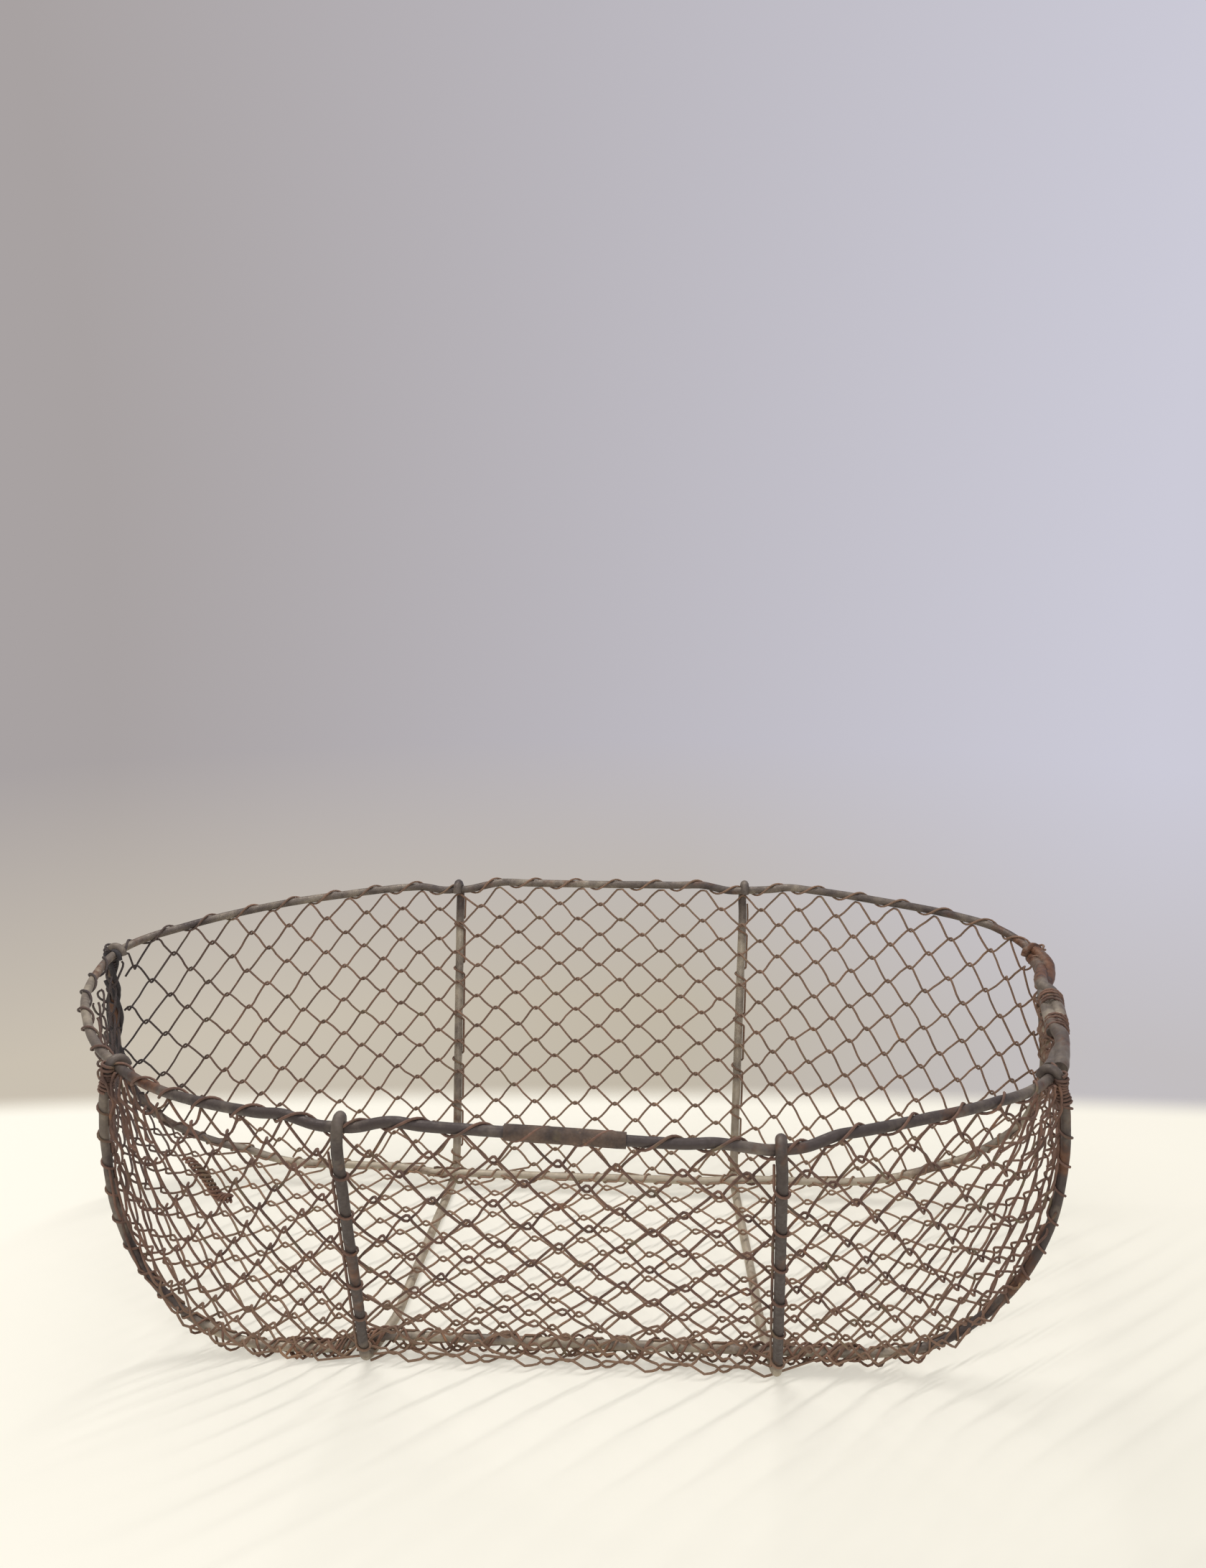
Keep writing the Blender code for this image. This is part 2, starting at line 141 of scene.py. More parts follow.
# Netting: a cell is one turn of a spiral wide and two spirals high
NET_WIRE = 0.00074
WIRE_SIDES = 6
SPIRALS = {FRONT: 16, BACK: 19}
SPIRALS_TO_KEEL = {FRONT: 12.5, BACK: 18.5}
SPIRAL_STRETCH = {FRONT: 0.18, BACK: 0.0}
SPIRALS_ACROSS_FLOOR = 14
CELLS_BETWEEN_RIBS = 7
BAY_CELL = {FRONT: 0.0295, BACK: 0.0275}
BAY_CELLS_BELOW = {FRONT: 7.3, BACK: 8.6}
CORNER_SPIRALS = {FRONT: 5.6, BACK: 0.0}
CORNER_POWER = 12
FRONT_BEND_SPIRALS = 1.2
BACK_FAN = 0.40
FLOOR_CELL = 0.0300
POINTS_PER_TURN = 14
LEAST_WIRE_POINTS = 4.0
KNUCKLE_DEPTH = 0.0046
KNUCKLE_REACH = 0.075
KNUCKLE_ROUNDNESS = 0.93
KNUCKLE_SOFTNESS = 0.35
KNUCKLE_CROWDING = 0.25
CELL_DRIFT = 0.30
DRIFT_SCALE = 0.45
NET_RIPPLE = 0.0035
RIPPLE_SCALE = 0.22
EDGE_MARGIN = 0.001
RIM_HANG = 0.0030
RIM_INSET = 0.0020
KEEL_STANDOFF = 0.0056
KEEL_DROP = 0.0015
UPRIGHT_STANDOFF = 0.0012
BEND_HEIGHTS = (0.020, 0.050)
EDGE_REACH = {FRONT: 0.0, BACK: 0.008}
RIM_WRAP = {FRONT: 0.0, BACK: 0.014}
# How the front netting turns under the keel rib: how far in and down, and how many spirals further
TURN_UNDER = (
    (0.0, 0.0, 0.0),
    (-0.0030, 0.0030, 0.4),
    (-0.0040, 0.0048, 1.0),
    (-0.0005, 0.0054, 1.8),
    (0.0110, 0.0052, 3.0),
)
FLOOR_DIP = 0.0030
FLOOR_DIP_SHARE = 0.86
END_TOP_CUT = 0.005
SHEET_STEPS = 40
END_BULGE_SHARE = 0.07
END_BULGE_POWER = 1.5
END_BULGE_INSET = 0.0045
UPRIGHT_Z = 0.150

# Wire that binds the netting and the rods. Each winding has the length of a turn, the share of it in which
# the wire goes round, and how slack, sagging or tangled the wire is.
TIE_WIRE = 0.0008
WIRE_STEP = 0.002
STEPS_PER_TURN = 12
LOOSENESS = 0.35
TANGLE_SCALE = 150.0
RIM_LACING = {"turn": 0.0300, "slack": 0.0006, "sag": 0.0002}
RIM_LACING_START = 0.10
KEEL_LACING = {"turn": 0.0180, "slack": 0.0005, "share": 0.60}
LEG_LACING = {"turn": 0.0330, "slack": 0.0004, "share": 0.30}
LEG_FOOT_Y = 0.101
LEG_TOP = 0.186
KEEL_LOOPS = {"turn": 0.0220, "slack": 0.0012, "tangle": 0.0022}
KEEL_LOOP_RADIUS = 0.0050
KEEL_LOOP_HANG = 0.0015
CORNER_BINDING = {"turn": 0.0020, "slack": 0.0006, "tangle": 0.0010}
CORNER_BINDING_TOP = 0.005
CORNER_BINDING_DEPTH = 0.017
UPRIGHT_BUNDLE = {"turn": 0.080, "slack": 0.0010, "tangle": 0.0012}
BUNDLE_WIRE = 0.0018
BUNDLE_STRANDS = 4
BUNDLE_FOOT = 0.085
FOOT_BINDINGS = {
    FRONT: {"turn": 0.0260, "slack": 0.0030, "tangle": 0.0030},
    BACK: {"turn": 0.0260, "slack": 0.0006, "tangle": 0.0006},
}
FOOT_STRANDS = {FRONT: 4, BACK: 3}
FOOT_REACH = {FRONT: 0.048, BACK: 0.014}
FOOT_INSIDE = {FRONT: 0.018, BACK: 0.010}
CROSSING_HEIGHT = 0.010
LAP_BINDING = {"turn": 0.0040, "slack": 0.0020, "tangle": 0.0020}
LAP_BINDING_LENGTH = 0.016
LAP_REACH = (-0.077, 0.086)
LAP_END_LENGTH = 0.12
LAP_STEPS = 40
LAP_SLEEVE = 0.0040
LAP_SLEEVE_PITTING = 0.55
LAP_SPREAD = 0.0026
LAP_TWIST = 7.5
FRONT_SLEEVE = 0.0040
FRONT_SLEEVE_PITTING = 0.15
FRONT_SLEEVE_ENDS = (-0.012, 0.052)
SLEEVE_PIT_SCALE = 75.0
MEND = {"turn": 0.010, "slack": 0.0006, "tangle": 0.0012}
MEND_RADIUS = 0.0016
MEND_STRANDS = 4
MEND_POINTS = (
    (-0.1860, -0.1220, 0.1460),
    (-0.1756, -0.1270, 0.1405),
    (-0.1666, -0.1285, 0.1270),
    (-0.1600, -0.1305, 0.1280),
)
GATHER = {"turn": 0.030, "slack": 0.0010, "tangle": 0.0050}
GATHER_RADIUS = 0.0010
GATHER_STRANDS = 3
GATHER_STEPS = 14
# Start, bend and end of the first and the last gathered strand: in along X from the corner, then Y and Z
GATHER_FIRST = ((0.0, -0.0020, 0.0), (0.0, -0.0040, -0.0160), (0.0040, -0.00548, -0.0500))
GATHER_LAST = ((0.0100, -0.0070, 0.0), (0.0060, -0.0040, -0.0160), (0.0340, -0.02408, -0.0300))

# Seeds of what is random
NET_SEED = 3.0
FLOOR_NET_SEED = 9.0
KEEL_LACING_SEED = 2.0
LEG_LACING_SEED = 5.0
FOOT_SEED = 11.0
CORNER_SEED = 21.0
LAP_SEED = 31.0
GATHER_SEED = 51.0
LOOP_SEED = 61.0
BUNDLE_SEED = 71.0
MEND_SEED = 81.0

# Finishes: colours, the size of their patches as noise scales, and how rough and how metallic they are
SLATE = (0.070, 0.054, 0.050)
GREY_ZINC = (0.180, 0.148, 0.122)
BEIGE_ZINC = (0.46, 0.40, 0.31)
ROD_RUST = ((0.065, 0.030, 0.020), (0.135, 0.058, 0.030), (0.20, 0.105, 0.065))
NET_COLOURS = ((0.105, 0.062, 0.050), (0.225, 0.125, 0.090), (0.36, 0.18, 0.09))
TIE_COLOURS = ((0.105, 0.056, 0.042), (0.235, 0.122, 0.085), (0.36, 0.18, 0.095))
# Rust scale on the bundled wires, darkened to near black as painted shade on the back left upright
BUNDLE_SCALE_AND_SHADE_COLOURS = ((0.030, 0.028, 0.032), (0.070, 0.060, 0.058), (0.15, 0.085, 0.055))
SLEEVE_COLOURS = ((0.055, 0.041, 0.036), (0.150, 0.100, 0.074), (0.25, 0.16, 0.11))
OLIVE_WEAR = (0.170, 0.135, 0.080, 1.0)
# Painted light: the tan that wire is lightened towards near the floor and on the back
PAINTED_LIGHT_TAN = (0.400, 0.270, 0.175, 1.0)
# Painted shade: the near-black that wire at the back of the basket's left end is darkened towards
LEFT_END_PAINTED_SHADE = (0.045, 0.040, 0.043, 1.0)
ZINC_SCALE = 38.0
SPECKLE_SCALE = 210.0
RUST_PATCH_SCALE = 24.0
FLAKE_SCALE = 95.0
BLOOM_SCALE = 58.0
WEAR_SCALE = 75.0
ROD_SURFACE = {"roughness": (0.42, 0.72), "bump": 0.35, "grain": 420.0, "metallic": 0.35}
WIRE_SURFACE = {"roughness": (0.62, 0.92), "bump": 0.45, "grain": 700.0, "metallic": 0.15}
GRAIN_DEPTH = 0.0006

# Where a finish changes, from none of a tone to all of it along an axis, and how strong the tone is
BELOW_RIM = (0.180, 0.155)
# Painted light: the rods are painted paler near the bright floor, from this height down
ROD_LOW = (0.02583, 0.0)
ROD_LOW_PAINTED_LIGHT = 0.62
# Painted light: the rods on the back, below the rim, are painted paler, fading out towards the left
ROD_BACK_PAINTED_LIGHT = 1.6
ROD_BACK_FROM_LEFT = (-0.300, -0.050)
# Painted shade: the rods at the front of the basket are painted darker
ROD_FRONT_SHADE_SPAN = (-0.070, -0.170)
ROD_FRONT_PAINTED_SHADE = -0.15
RIM_LEFT_END = (-0.248, -0.348)
RIM_LEFT_PALE = 0.25
RIM_LEFT_FRONT = (0.080, 0.055)
RUSTED_ENDS = (0.275, 0.375)
ENDS_RUST = 0.24
RUSTED_LAP = (0.27333, 0.37333)
LAP_RUST = 0.30
# Painted light: the wire is painted paler near the bright floor and on the back, more so towards the right
WIRE_LOW = (0.06857, 0.0)
WIRE_LOW_PAINTED_LIGHT = 0.48
WIRE_BACK_PAINTED_LIGHT = 1.7
WIRE_BACK_PAINTED_LIGHT_RIGHT = 2.5
# Painted shade: the wire at the back of the basket's left end is painted darker
WIRE_LEFT_END = (-0.240, -0.30667)
WIRE_LEFT_BACK = (-0.080, -0.055)
WIRE_LEFT_PAINTED_SHADE = 0.85

# Studio: the floor fades into the background between two distances from a point in front of the basket
FLOOR_COLOUR = (0.960, 0.930, 0.850, 1.0)
FLOOR_GLOW = (1.0, 0.970, 0.860, 1.0)
GLOW_SHARE = 0.42
FLOOR_ROUGHNESS = 0.8
FLOOR_REACH = 6.0
FLOOR_MIDDLE = (0.319, -5.27, 0.0)
FLOOR_FADE = (5.48, 5.52)
BACKDROP_LEFT = (0.392, 0.361, 0.361)
BACKDROP_RIGHT = (0.604, 0.597, 0.687)
BACKDROP_LOW_LEFT = (0.590, 0.530, 0.440)
BACKDROP_LOW_MIDDLE = (0.530, 0.475, 0.385)
BACKDROP_LOW_RIGHT = (0.540, 0.515, 0.530)
BACKDROP_SPAN = (-0.42, 0.36)
BACKDROP_FALL = (-0.22, -0.42)
SKY_LIGHT = (0.515, 0.494, 0.455, 1.0)
FILL_PLACE = (0.1, -1.6, 1.8)
FILL_SIZE = 2.0
FILL_POWER = 13.0
STRIP_PLACE = (-0.39, 0.50, 1.60)
STRIP_SIZE = (1.50, 0.05)
STRIP_TURN = 0.65
STRIP_TILT = 0.38
STRIP_POWER = 15.5
STRIP_COLOUR = (1.0, 0.98, 0.95)

# Camera: 1680 x 2184 picture, lens from its focal length in pixels
PICTURE_HEIGHT = 2184
FOCAL_PIXELS = 1715
SENSOR = 36.0
CAMERA_PLACE = (0.06635, -0.68883, 0.50390)
CAMERA_PITCH = 0.25789
CAMERA_YAW = 0.05507
CAMERA_ROLL = -0.00125
CLIP_START = 0.01

# Reading the solids and sampling paths
MERGE_DISTANCE = 1e-6
FLAT_ANGLE = 1e-3
LEAST_RING = 5
RING_TOLERANCE = 0.02
PATH_STEP = 0.004
NEAREST_SAMPLES = 2001
KEEL_SAMPLES = 1601
LEG_SAMPLES = 801
SPIRAL_SAMPLES = 200


def run_of(path):
    """Distance from the start of a path to each of its points."""
    steps = np.linalg.norm(np.diff(path, axis=0), axis=1)
    return np.concatenate([[0.0], np.cumsum(steps)])


def along(path, shares):
    """Points at shares of a path's length."""
    run = run_of(path)
    places = np.asarray(shares) * run[-1]
    return np.stack([np.interp(places, run, path[:, axis]) for axis in range(3)], -1)


def stretch(path, start, end, step=PATH_STEP):
    """The part of a path between two distances along it, in even steps."""
    length = run_of(path)[-1]
    count = max(2, math.ceil(abs(end - start) / step))
    return along(path, np.linspace(start, end, count + 1) / length)


def nearest_distance(path, place):
    """Distance along a path to its point nearest a place."""
    fine = along(path, np.linspace(0.0, 1.0, NEAREST_SAMPLES))
    index = np.argmin(np.linalg.norm(fine - place, axis=1))
    return run_of(fine)[index]


def unit(vectors):
    """Vectors made one long."""
    return vectors / np.linalg.norm(vectors, axis=-1, keepdims=True)


def flat_patch(face):
    """A triangle and all that lie flat with it."""
    patch = {face}
    waiting = [face]
    while waiting:
        for edge in waiting.pop().edges:
            if edge.calc_face_angle(math.pi) < FLAT_ANGLE:
                fresh = [other for other in edge.link_faces if other not in patch]
                patch.update(fresh)
                waiting += fresh
    return patch


def end_ring(mesh):
    """The corners of a rod's flat end, which all lie as far from their middle."""
    for face in mesh.faces:
        corners = {corner for part in flat_patch(face) for corner in part.verts}
        places = np.array([corner.co for corner in corners])
        reach = np.linalg.norm(places - places.mean(axis=0), axis=1)
        if len(corners) >= LEAST_RING and np.ptp(reach) < RING_TOLERANCE * reach.mean():
            return corners
    raise ValueError("the rod has no flat end")


def rod_axis(node):
    """The line down the middle of a solid rod, through the centres of its rings of corners."""
    mesh = bmesh.new()
    mesh.from_mesh(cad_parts[node].data)
    bmesh.ops.remove_doubles(mesh, verts=mesh.verts, dist=MERGE_DISTANCE)
    ring = end_ring(mesh)
    passed = set(ring)
    centres = []
    while ring:
        centres.append(np.mean([corner.co for corner in ring], axis=0))
        ahead = {edge.other_vert(corner) for corner in ring for edge in corner.link_edges}
        ring = ahead - passed
        passed |= ring
    mesh.free()
    return np.array(centres)


def ordered(path, axis):
    """A path turned so that it runs up one axis."""
    return path if path[0, axis] < path[-1, axis] else path[::-1]


def even(path):
    """A path in even steps."""
    return stretch(path, 0.0, run_of(path)[-1], ROD_STEP)


def round_rim(path):
    """The rim in even steps, from its lap along the back to its lap."""
    return even(path if path[len(path) // 4, 1] > 0 else path[::-1])


def rim_shifts():
    """How far each point of the solid rim has been bent away in use."""
    shares = run_of(solid_rim) / run_of(solid_rim)[-1]
    places, along_x, drops = np.array(RIM_BENDS).T
    shift = np.zeros_like(solid_rim)
    shift[:, 0] = np.interp(shares, places, along_x)
    shift[:, 2] = -np.interp(shares, places, drops)
    return shift


def followed(path):
    """A rib that is carried along by the bent rim, the more the higher it is."""
    nearest = np.argmin(np.linalg.norm(path[:, None] - solid_rim[None], axis=-1), axis=1)
    height = np.clip(path[:, 2] / solid_rim[nearest, 2], 0.0, 1.0)
    return path + (rim - solid_rim)[nearest] * height[:, None]


def keel_outward(path):
    """Level or downward direction out of the basket along a keel rib, square to it."""
    ahead = np.gradient(path, axis=0)
    return unit(np.cross(ACROSS, ahead))


def bowed(path, face):
    """A keel rib whose ends bulge out of the basket or into it."""
    path = even(path)
    outward = keel_outward(path)
    begun = np.interp(abs(path[:, 0]), BULGE_START, (0.0, 1.0))
    low = np.interp(path[:, 2], LOW_HEIGHTS, (1.0, 0.0))
    shift = np.zeros_like(path)
    for side in (LEFT, RIGHT):
        heights, bulges = np.array(KEEL_BULGES[face, side]).T
        bulge = np.interp(path[:, 2], heights, bulges)[:, None] * outward
        forward = LOW_FORWARD.get((face, side), 0.0) * low[:, None] * face * ACROSS
        shift += (bulge + forward) * (begun * (path[:, 0] * side > 0))[:, None]
    return path + shift


def splayed(path, side):
    """A cross rib whose front leg is turned a little, its foot one way along X and its hook the other."""
    path = even(path)
    height = path[:, 2] / path[:, 2].max()
    base = np.clip((-path[:, 1] - FOOT_BEND[0]) / (FOOT_BEND[1] - FOOT_BEND[0]), 0.0, 1.0)
    path[:, 0] += FOOT_SHIFT[side] * np.minimum(1 - height, base) + HOOK_SHIFT[side] * height * base
    return path


def gripped(path):
    """A rib whose hooks close tightly on the rim."""
    gaps = np.linalg.norm(path[:, None] - rim[None], axis=-1)
    away = path - rim[np.argmin(gaps, axis=1)]
    gap = gaps.min(axis=1)
    share = np.clip((HOOK_END - gap) / (HOOK_END - HOOK_OPEN), 0.0, 1.0)
    return path + away * ((HOOK_GRIP - gap) / gap * share)[:, None]


# The rods' paths, read from the solids and then bent
solid_keels = {face: ordered(rod_axis(label + "_keel_rib"), 0) for label, face in FACES.items()}
keel_y = float(np.median(abs(solid_keels[FRONT][:, 1])))
solid_rim = round_rim(rod_axis("rim"))
rim = solid_rim + rim_shifts()
keels = {face: gripped(followed(bowed(solid_keels[face], face))) for face in (FRONT, BACK)}
ribs = {
    side: gripped(followed(splayed(ordered(rod_axis(label + "_cross_rib"), 1), side)))
    for label, side in SIDES.items()
}


class Tree:
    """A node tree that is written one node to a line."""

    def __init__(self, group):
        self.group = group

    def add(self, kind, sockets=None, **settings):
        """A new node with its settings, each of its sockets linked or given a value."""
        node = self.group.nodes.new(kind)
        for name, value in settings.items():
            setattr(node, name, value)
        for name, value in (sockets or {}).items():
            if isinstance(value, bpy.types.NodeSocket):
                self.group.links.new(value, node.inputs[name])
            else:
                node.inputs[name].default_value = value
        return node

    def math(self, operation, *values, clamp=False):
        node = self.add("ShaderNodeMath", dict(enumerate(values)), operation=operation, use_clamp=clamp)
        return node.outputs[0]

    def product(self, first, *others):
        for other in others:
            first = self.math("MULTIPLY", first, other)
        return first

    def grown(self, value, span):
        """A share from 0 to 1 as a value goes from one end of a span to the other."""
        return self.add("ShaderNodeMapRange", {0: value, 1: span[0], 2: span[1]}).outputs[0]

    def vector(self, operation, *values):
        node = self.add("ShaderNodeVectorMath", dict(enumerate(values)), operation=operation)
        return node.outputs[0]

    def scaled(self, vector, amount):
        node = self.add("ShaderNodeVectorMath", {0: vector, "Scale": amount}, operation="SCALE")
        return node.outputs[0]

    def joined(self, x=0.0, y=0.0, z=0.0):
        return self.add("ShaderNodeCombineXYZ", {0: x, 1: y, 2: z}).outputs[0]

    def parted(self, vector):
        return self.add("ShaderNodeSeparateXYZ", {0: vector}).outputs

    def noise(self, place, scale, detail=2.0, roughness=0.5, kind="Fac"):
        """Smooth random values between 0 and 1."""
        sockets = {"Vector": place, "Scale": scale, "Detail": detail, "Roughness": roughness}
        return self.add("ShaderNodeTexNoise", sockets).outputs[kind]

    def sway(self, place, scale, reach):
        """Smooth random vector of about that reach either way."""
        colour = self.noise(place, scale, kind="Color")
        centred = self.vector("SUBTRACT", colour, (0.5, 0.5, 0.5))
        return self.scaled(centred, reach)

    def ramp(self, share, *stops):
        """Colours along a share of 0 to 1, each stop a place and a colour or a grey."""
        node = self.add("ShaderNodeValToRGB", {0: share})
        while len(node.color_ramp.elements) < len(stops):
            node.color_ramp.elements.new(1.0)
        for element, (place, colour) in zip(node.color_ramp.elements, stops):
            element.position = place
            grey = isinstance(colour, float)
            element.color = (colour, colour, colour, 1.0) if grey else (*colour, 1.0)
        return node.outputs[0]

    def seen(self):
        """1 where a surface is looked at, straight or in a reflection, and 0 where it only lights others."""
        rays = self.add("ShaderNodeLightPath").outputs
        looked_at = self.math("MAXIMUM", rays["Is Camera Ray"], rays["Is Glossy Ray"])
        return self.math("MAXIMUM", looked_at, rays["Is Transmission Ray"])

    def mixed(self, share, first, second):
        """A share of the second colour over the first."""
        sockets = {0: share, 6: first, 7: second}
        return self.add("ShaderNodeMix", sockets, data_type="RGBA").outputs[2]


class Recipe(Tree):
    """A geometry node tree with named inputs, which makes a piece from a guide mesh."""

    def __init__(self, name):
        super().__init__(bpy.data.node_groups.new(name, "GeometryNodeTree"))
        self.group.interface.new_socket("Guide", in_out="INPUT", socket_type="NodeSocketGeometry")
        self.group.interface.new_socket("Piece", in_out="OUTPUT", socket_type="NodeSocketGeometry")
        self.inputs = self.group.nodes.new("NodeGroupInput")
        self.outputs = self.group.nodes.new("NodeGroupOutput")
        self.guide = self.inputs.outputs["Guide"]

    def size(self, name, kind="Float"):
        """A new named input of the tree."""
        self.group.interface.new_socket(name, in_out="INPUT", socket_type="NodeSocket" + kind)
        return self.inputs.outputs[name]

    def place(self):
        return self.add("GeometryNodeInputPosition").outputs[0]

    def normal(self):
        return self.add("GeometryNodeInputNormal").outputs[0]

    def path(self):
        """The guide as a curve in even steps."""
        curve = self.add("GeometryNodeMeshToCurve", {"Mesh": self.guide}).outputs[0]
        sockets = {"Curve": curve, "Length": self.size("Step")}
        return self.add("GeometryNodeResampleCurve", sockets, mode="LENGTH").outputs[0]

    def moved(self, geometry, **sockets):
        """Geometry moved to a Position or by an Offset."""
        return self.add("GeometryNodeSetPosition", {"Geometry": geometry, **sockets}).outputs[0]

    def sweep(self, curve, radius, sides, scale=1.0):
        """Ends the tree: a round wire along a curve above the floor, its ends filled, in a given finish."""
        x, y, z = self.parted(self.place())
        curve = self.moved(curve, Position=self.joined(x, y, self.math("MAXIMUM", z, radius)))
        profile = self.add("GeometryNodeCurvePrimitiveCircle", {"Resolution": sides, "Radius": radius})
        sockets = {"Curve": curve, "Profile Curve": profile.outputs[0], "Scale": scale, "Fill Caps": True}
        swept = self.add("GeometryNodeCurveToMesh", sockets)
        smooth = self.add("GeometryNodeSetShadeSmooth", {"Geometry": swept.outputs[0]})
        real = self.add("GeometryNodeRealizeInstances", {"Geometry": smooth.outputs[0]})
        sockets = {"Geometry": real.outputs[0], "Material": self.size("Finish", "Material")}
        coloured = self.add("GeometryNodeSetMaterial", sockets)
        self.group.links.new(coloured.outputs[0], self.outputs.inputs[0])
        return self.group


def rod_recipe():
    """A hand-bent rod along a path: rounded, a little wandering and pitted."""
    tree = Recipe("bent rod")
    curve = tree.path()
    place = tree.place()
    sockets = {0: place, "Iterations": BEND_SMOOTHING}
    blur = tree.add("GeometryNodeBlurAttribute", sockets, data_type="FLOAT_VECTOR")
    curve = tree.moved(curve, Position=blur.outputs[0])
    curve = tree.moved(curve, Offset=tree.sway(place, WANDER_SCALE, tree.size("Wander")))
    lumps = tree.math("SUBTRACT", tree.noise(place, tree.size("Pit Scale")), 0.5)
    scale = tree.math("MULTIPLY_ADD", lumps, tree.size("Pitting"), 1.0)
    return tree.sweep(curve, tree.size("Rod Radius"), tree.size("Sides", "Int"), scale)


def winding_recipe():
    """Wire wound round a path, one turn to each turn length, made in the first share of it."""
    tree = Recipe("wound wire")
    curve = tree.path()
    distance = tree.add("GeometryNodeSplineParameter").outputs["Length"]
    turns = tree.math("DIVIDE", distance, tree.size("Turn Length"))
    whole = tree.math("FLOOR", turns)
    part = tree.math("DIVIDE", tree.math("FRACT", turns), tree.size("Turn Share"))
    part = tree.math("MINIMUM", part, 1.0)
    turn = tree.math("ADD", whole, part)
    angle = tree.product(turn, 2 * math.pi, tree.size("Hand"))
    normal = tree.normal()
    ahead = tree.add("GeometryNodeInputTangent").outputs[0]
    side = tree.vector("CROSS_PRODUCT", ahead, normal)
    seeded = tree.vector("ADD", tree.place(), tree.joined(tree.size("Seed")))
    loose = tree.noise(seeded, tree.size("Looseness Scale"), detail=1.0)
    radius = tree.math("MULTIPLY_ADD", loose, tree.size("Slack"), tree.size("Winding Radius"))
    across = tree.scaled(normal, tree.product(tree.math("COSINE", angle), radius))
    upward = tree.scaled(side, tree.product(tree.math("SINE", angle), radius))
    sag = tree.joined(0.0, 0.0, tree.product(tree.size("Sag"), -1.0))
    tangle = tree.sway(seeded, tree.size("Tangle Scale"), tree.size("Tangle"))
    offset = tree.vector("ADD", tree.vector("ADD", across, upward), tree.vector("ADD", sag, tangle))
    return tree.sweep(tree.moved(curve, Offset=offset), tree.size("Wire Radius"), tree.size("Sides", "Int"))


def chain_link_recipe():
    """Chain-link on a guide sheet whose UV map gives its share of the columns and of the rows.

    Each row is one flattened spiral. Its knuckles hook into those of the spirals on both sides of it.
    """
    tree = Recipe("chain-link netting")
    columns = tree.size("Columns")
    rows = tree.size("Rows", "Int")
    line = tree.add("GeometryNodeCurvePrimitiveLine", {"End": (1.0, 0.0, 0.0)}).outputs[0]
    count = tree.product(columns, tree.size("Points Per Turn"))
    line = tree.add("GeometryNodeResampleCurve", {"Curve": line, "Count": count}).outputs[0]
    spirals = tree.add("GeometryNodeDuplicateElements", {"Geometry": line, "Amount": rows}, domain="SPLINE")
    row = spirals.outputs["Duplicate Index"]
    share = tree.parted(tree.place())[0]

    shift = tree.product(tree.math("MODULO", row, 2.0), math.pi)
    steady = tree.math("MULTIPLY_ADD", tree.product(share, columns), 2 * math.pi, shift)
    crowd = tree.math("SINE", tree.product(steady, 2.0))
    phase = tree.math("MULTIPLY_ADD", crowd, -KNUCKLE_CROWDING, steady)
    column = tree.math("DIVIDE", tree.math("SUBTRACT", phase, shift), 2 * math.pi)
    swing = tree.product(tree.math("COSINE", phase), -KNUCKLE_ROUNDNESS)
    rise = tree.math("DIVIDE", tree.math("ARCSINE", swing), math.asin(KNUCKLE_ROUNDNESS))
    reach = tree.math("ADD", tree.size("Knuckle Reach"), 0.5)
    level = tree.math("ADD", tree.math("MULTIPLY_ADD", rise, reach, row), 0.5)
    sine = tree.math("SINE", phase)
    spread = tree.math("SQRT", tree.math("MULTIPLY_ADD", sine, sine, KNUCKLE_SOFTNESS**2))
    depth = tree.product(tree.math("DIVIDE", sine, spread), tree.size("Knuckle Depth"))
    depth = tree.product(depth, -math.sqrt(1 + KNUCKLE_SOFTNESS**2) / 2)

    spot = tree.joined(column, level, tree.size("Seed"))
    drift = tree.parted(tree.sway(spot, DRIFT_SCALE, tree.size("Cell Drift")))
    ripple = tree.parted(tree.sway(spot, RIPPLE_SCALE, tree.size("Ripple")))[2]
    across = tree.math("DIVIDE", tree.math("ADD", level, drift[1]), rows, clamp=True)
    across = tree.math("MULTIPLY_ADD", across, 1 - 2 * EDGE_MARGIN, EDGE_MARGIN)
    spot = tree.joined(tree.math("DIVIDE", tree.math("ADD", column, drift[0]), columns), across)
    cells = tree.add("GeometryNodeInputNamedAttribute", {"Name": "cells"}, data_type="FLOAT_VECTOR")

    def sampled(value):
        sockets = {0: tree.guide, 1: value, 2: cells.outputs[0], 3: spot}
        return tree.add("GeometryNodeSampleUVSurface", sockets, data_type="FLOAT_VECTOR").outputs

    on_sheet = sampled(tree.place())
    outside = tree.math("SUBTRACT", 1.0, on_sheet["Is Valid"])
    sockets = {"Geometry": spirals.outputs[0], "Selection": outside}
    wires = tree.add("GeometryNodeDeleteGeometry", sockets, domain="POINT").outputs[0]
    points = tree.add("GeometryNodeSplineLength").outputs["Point Count"]
    short = tree.math("LESS_THAN", points, LEAST_WIRE_POINTS)
    wires = tree.add("GeometryNodeDeleteGeometry", {"Geometry": wires, "Selection": short}, domain="CURVE")
    off = tree.scaled(sampled(tree.normal())["Value"], tree.math("ADD", depth, ripple))
    curve = tree.moved(wires.outputs[0], Position=tree.vector("ADD", on_sheet["Value"], off))
    return tree.sweep(curve, tree.size("Wire Radius"), tree.size("Sides", "Int"))


def placed(name, data):
    """A new object in the scene."""
    item = bpy.data.objects.new(name, data)
    bpy.context.scene.collection.objects.link(item)
    return item


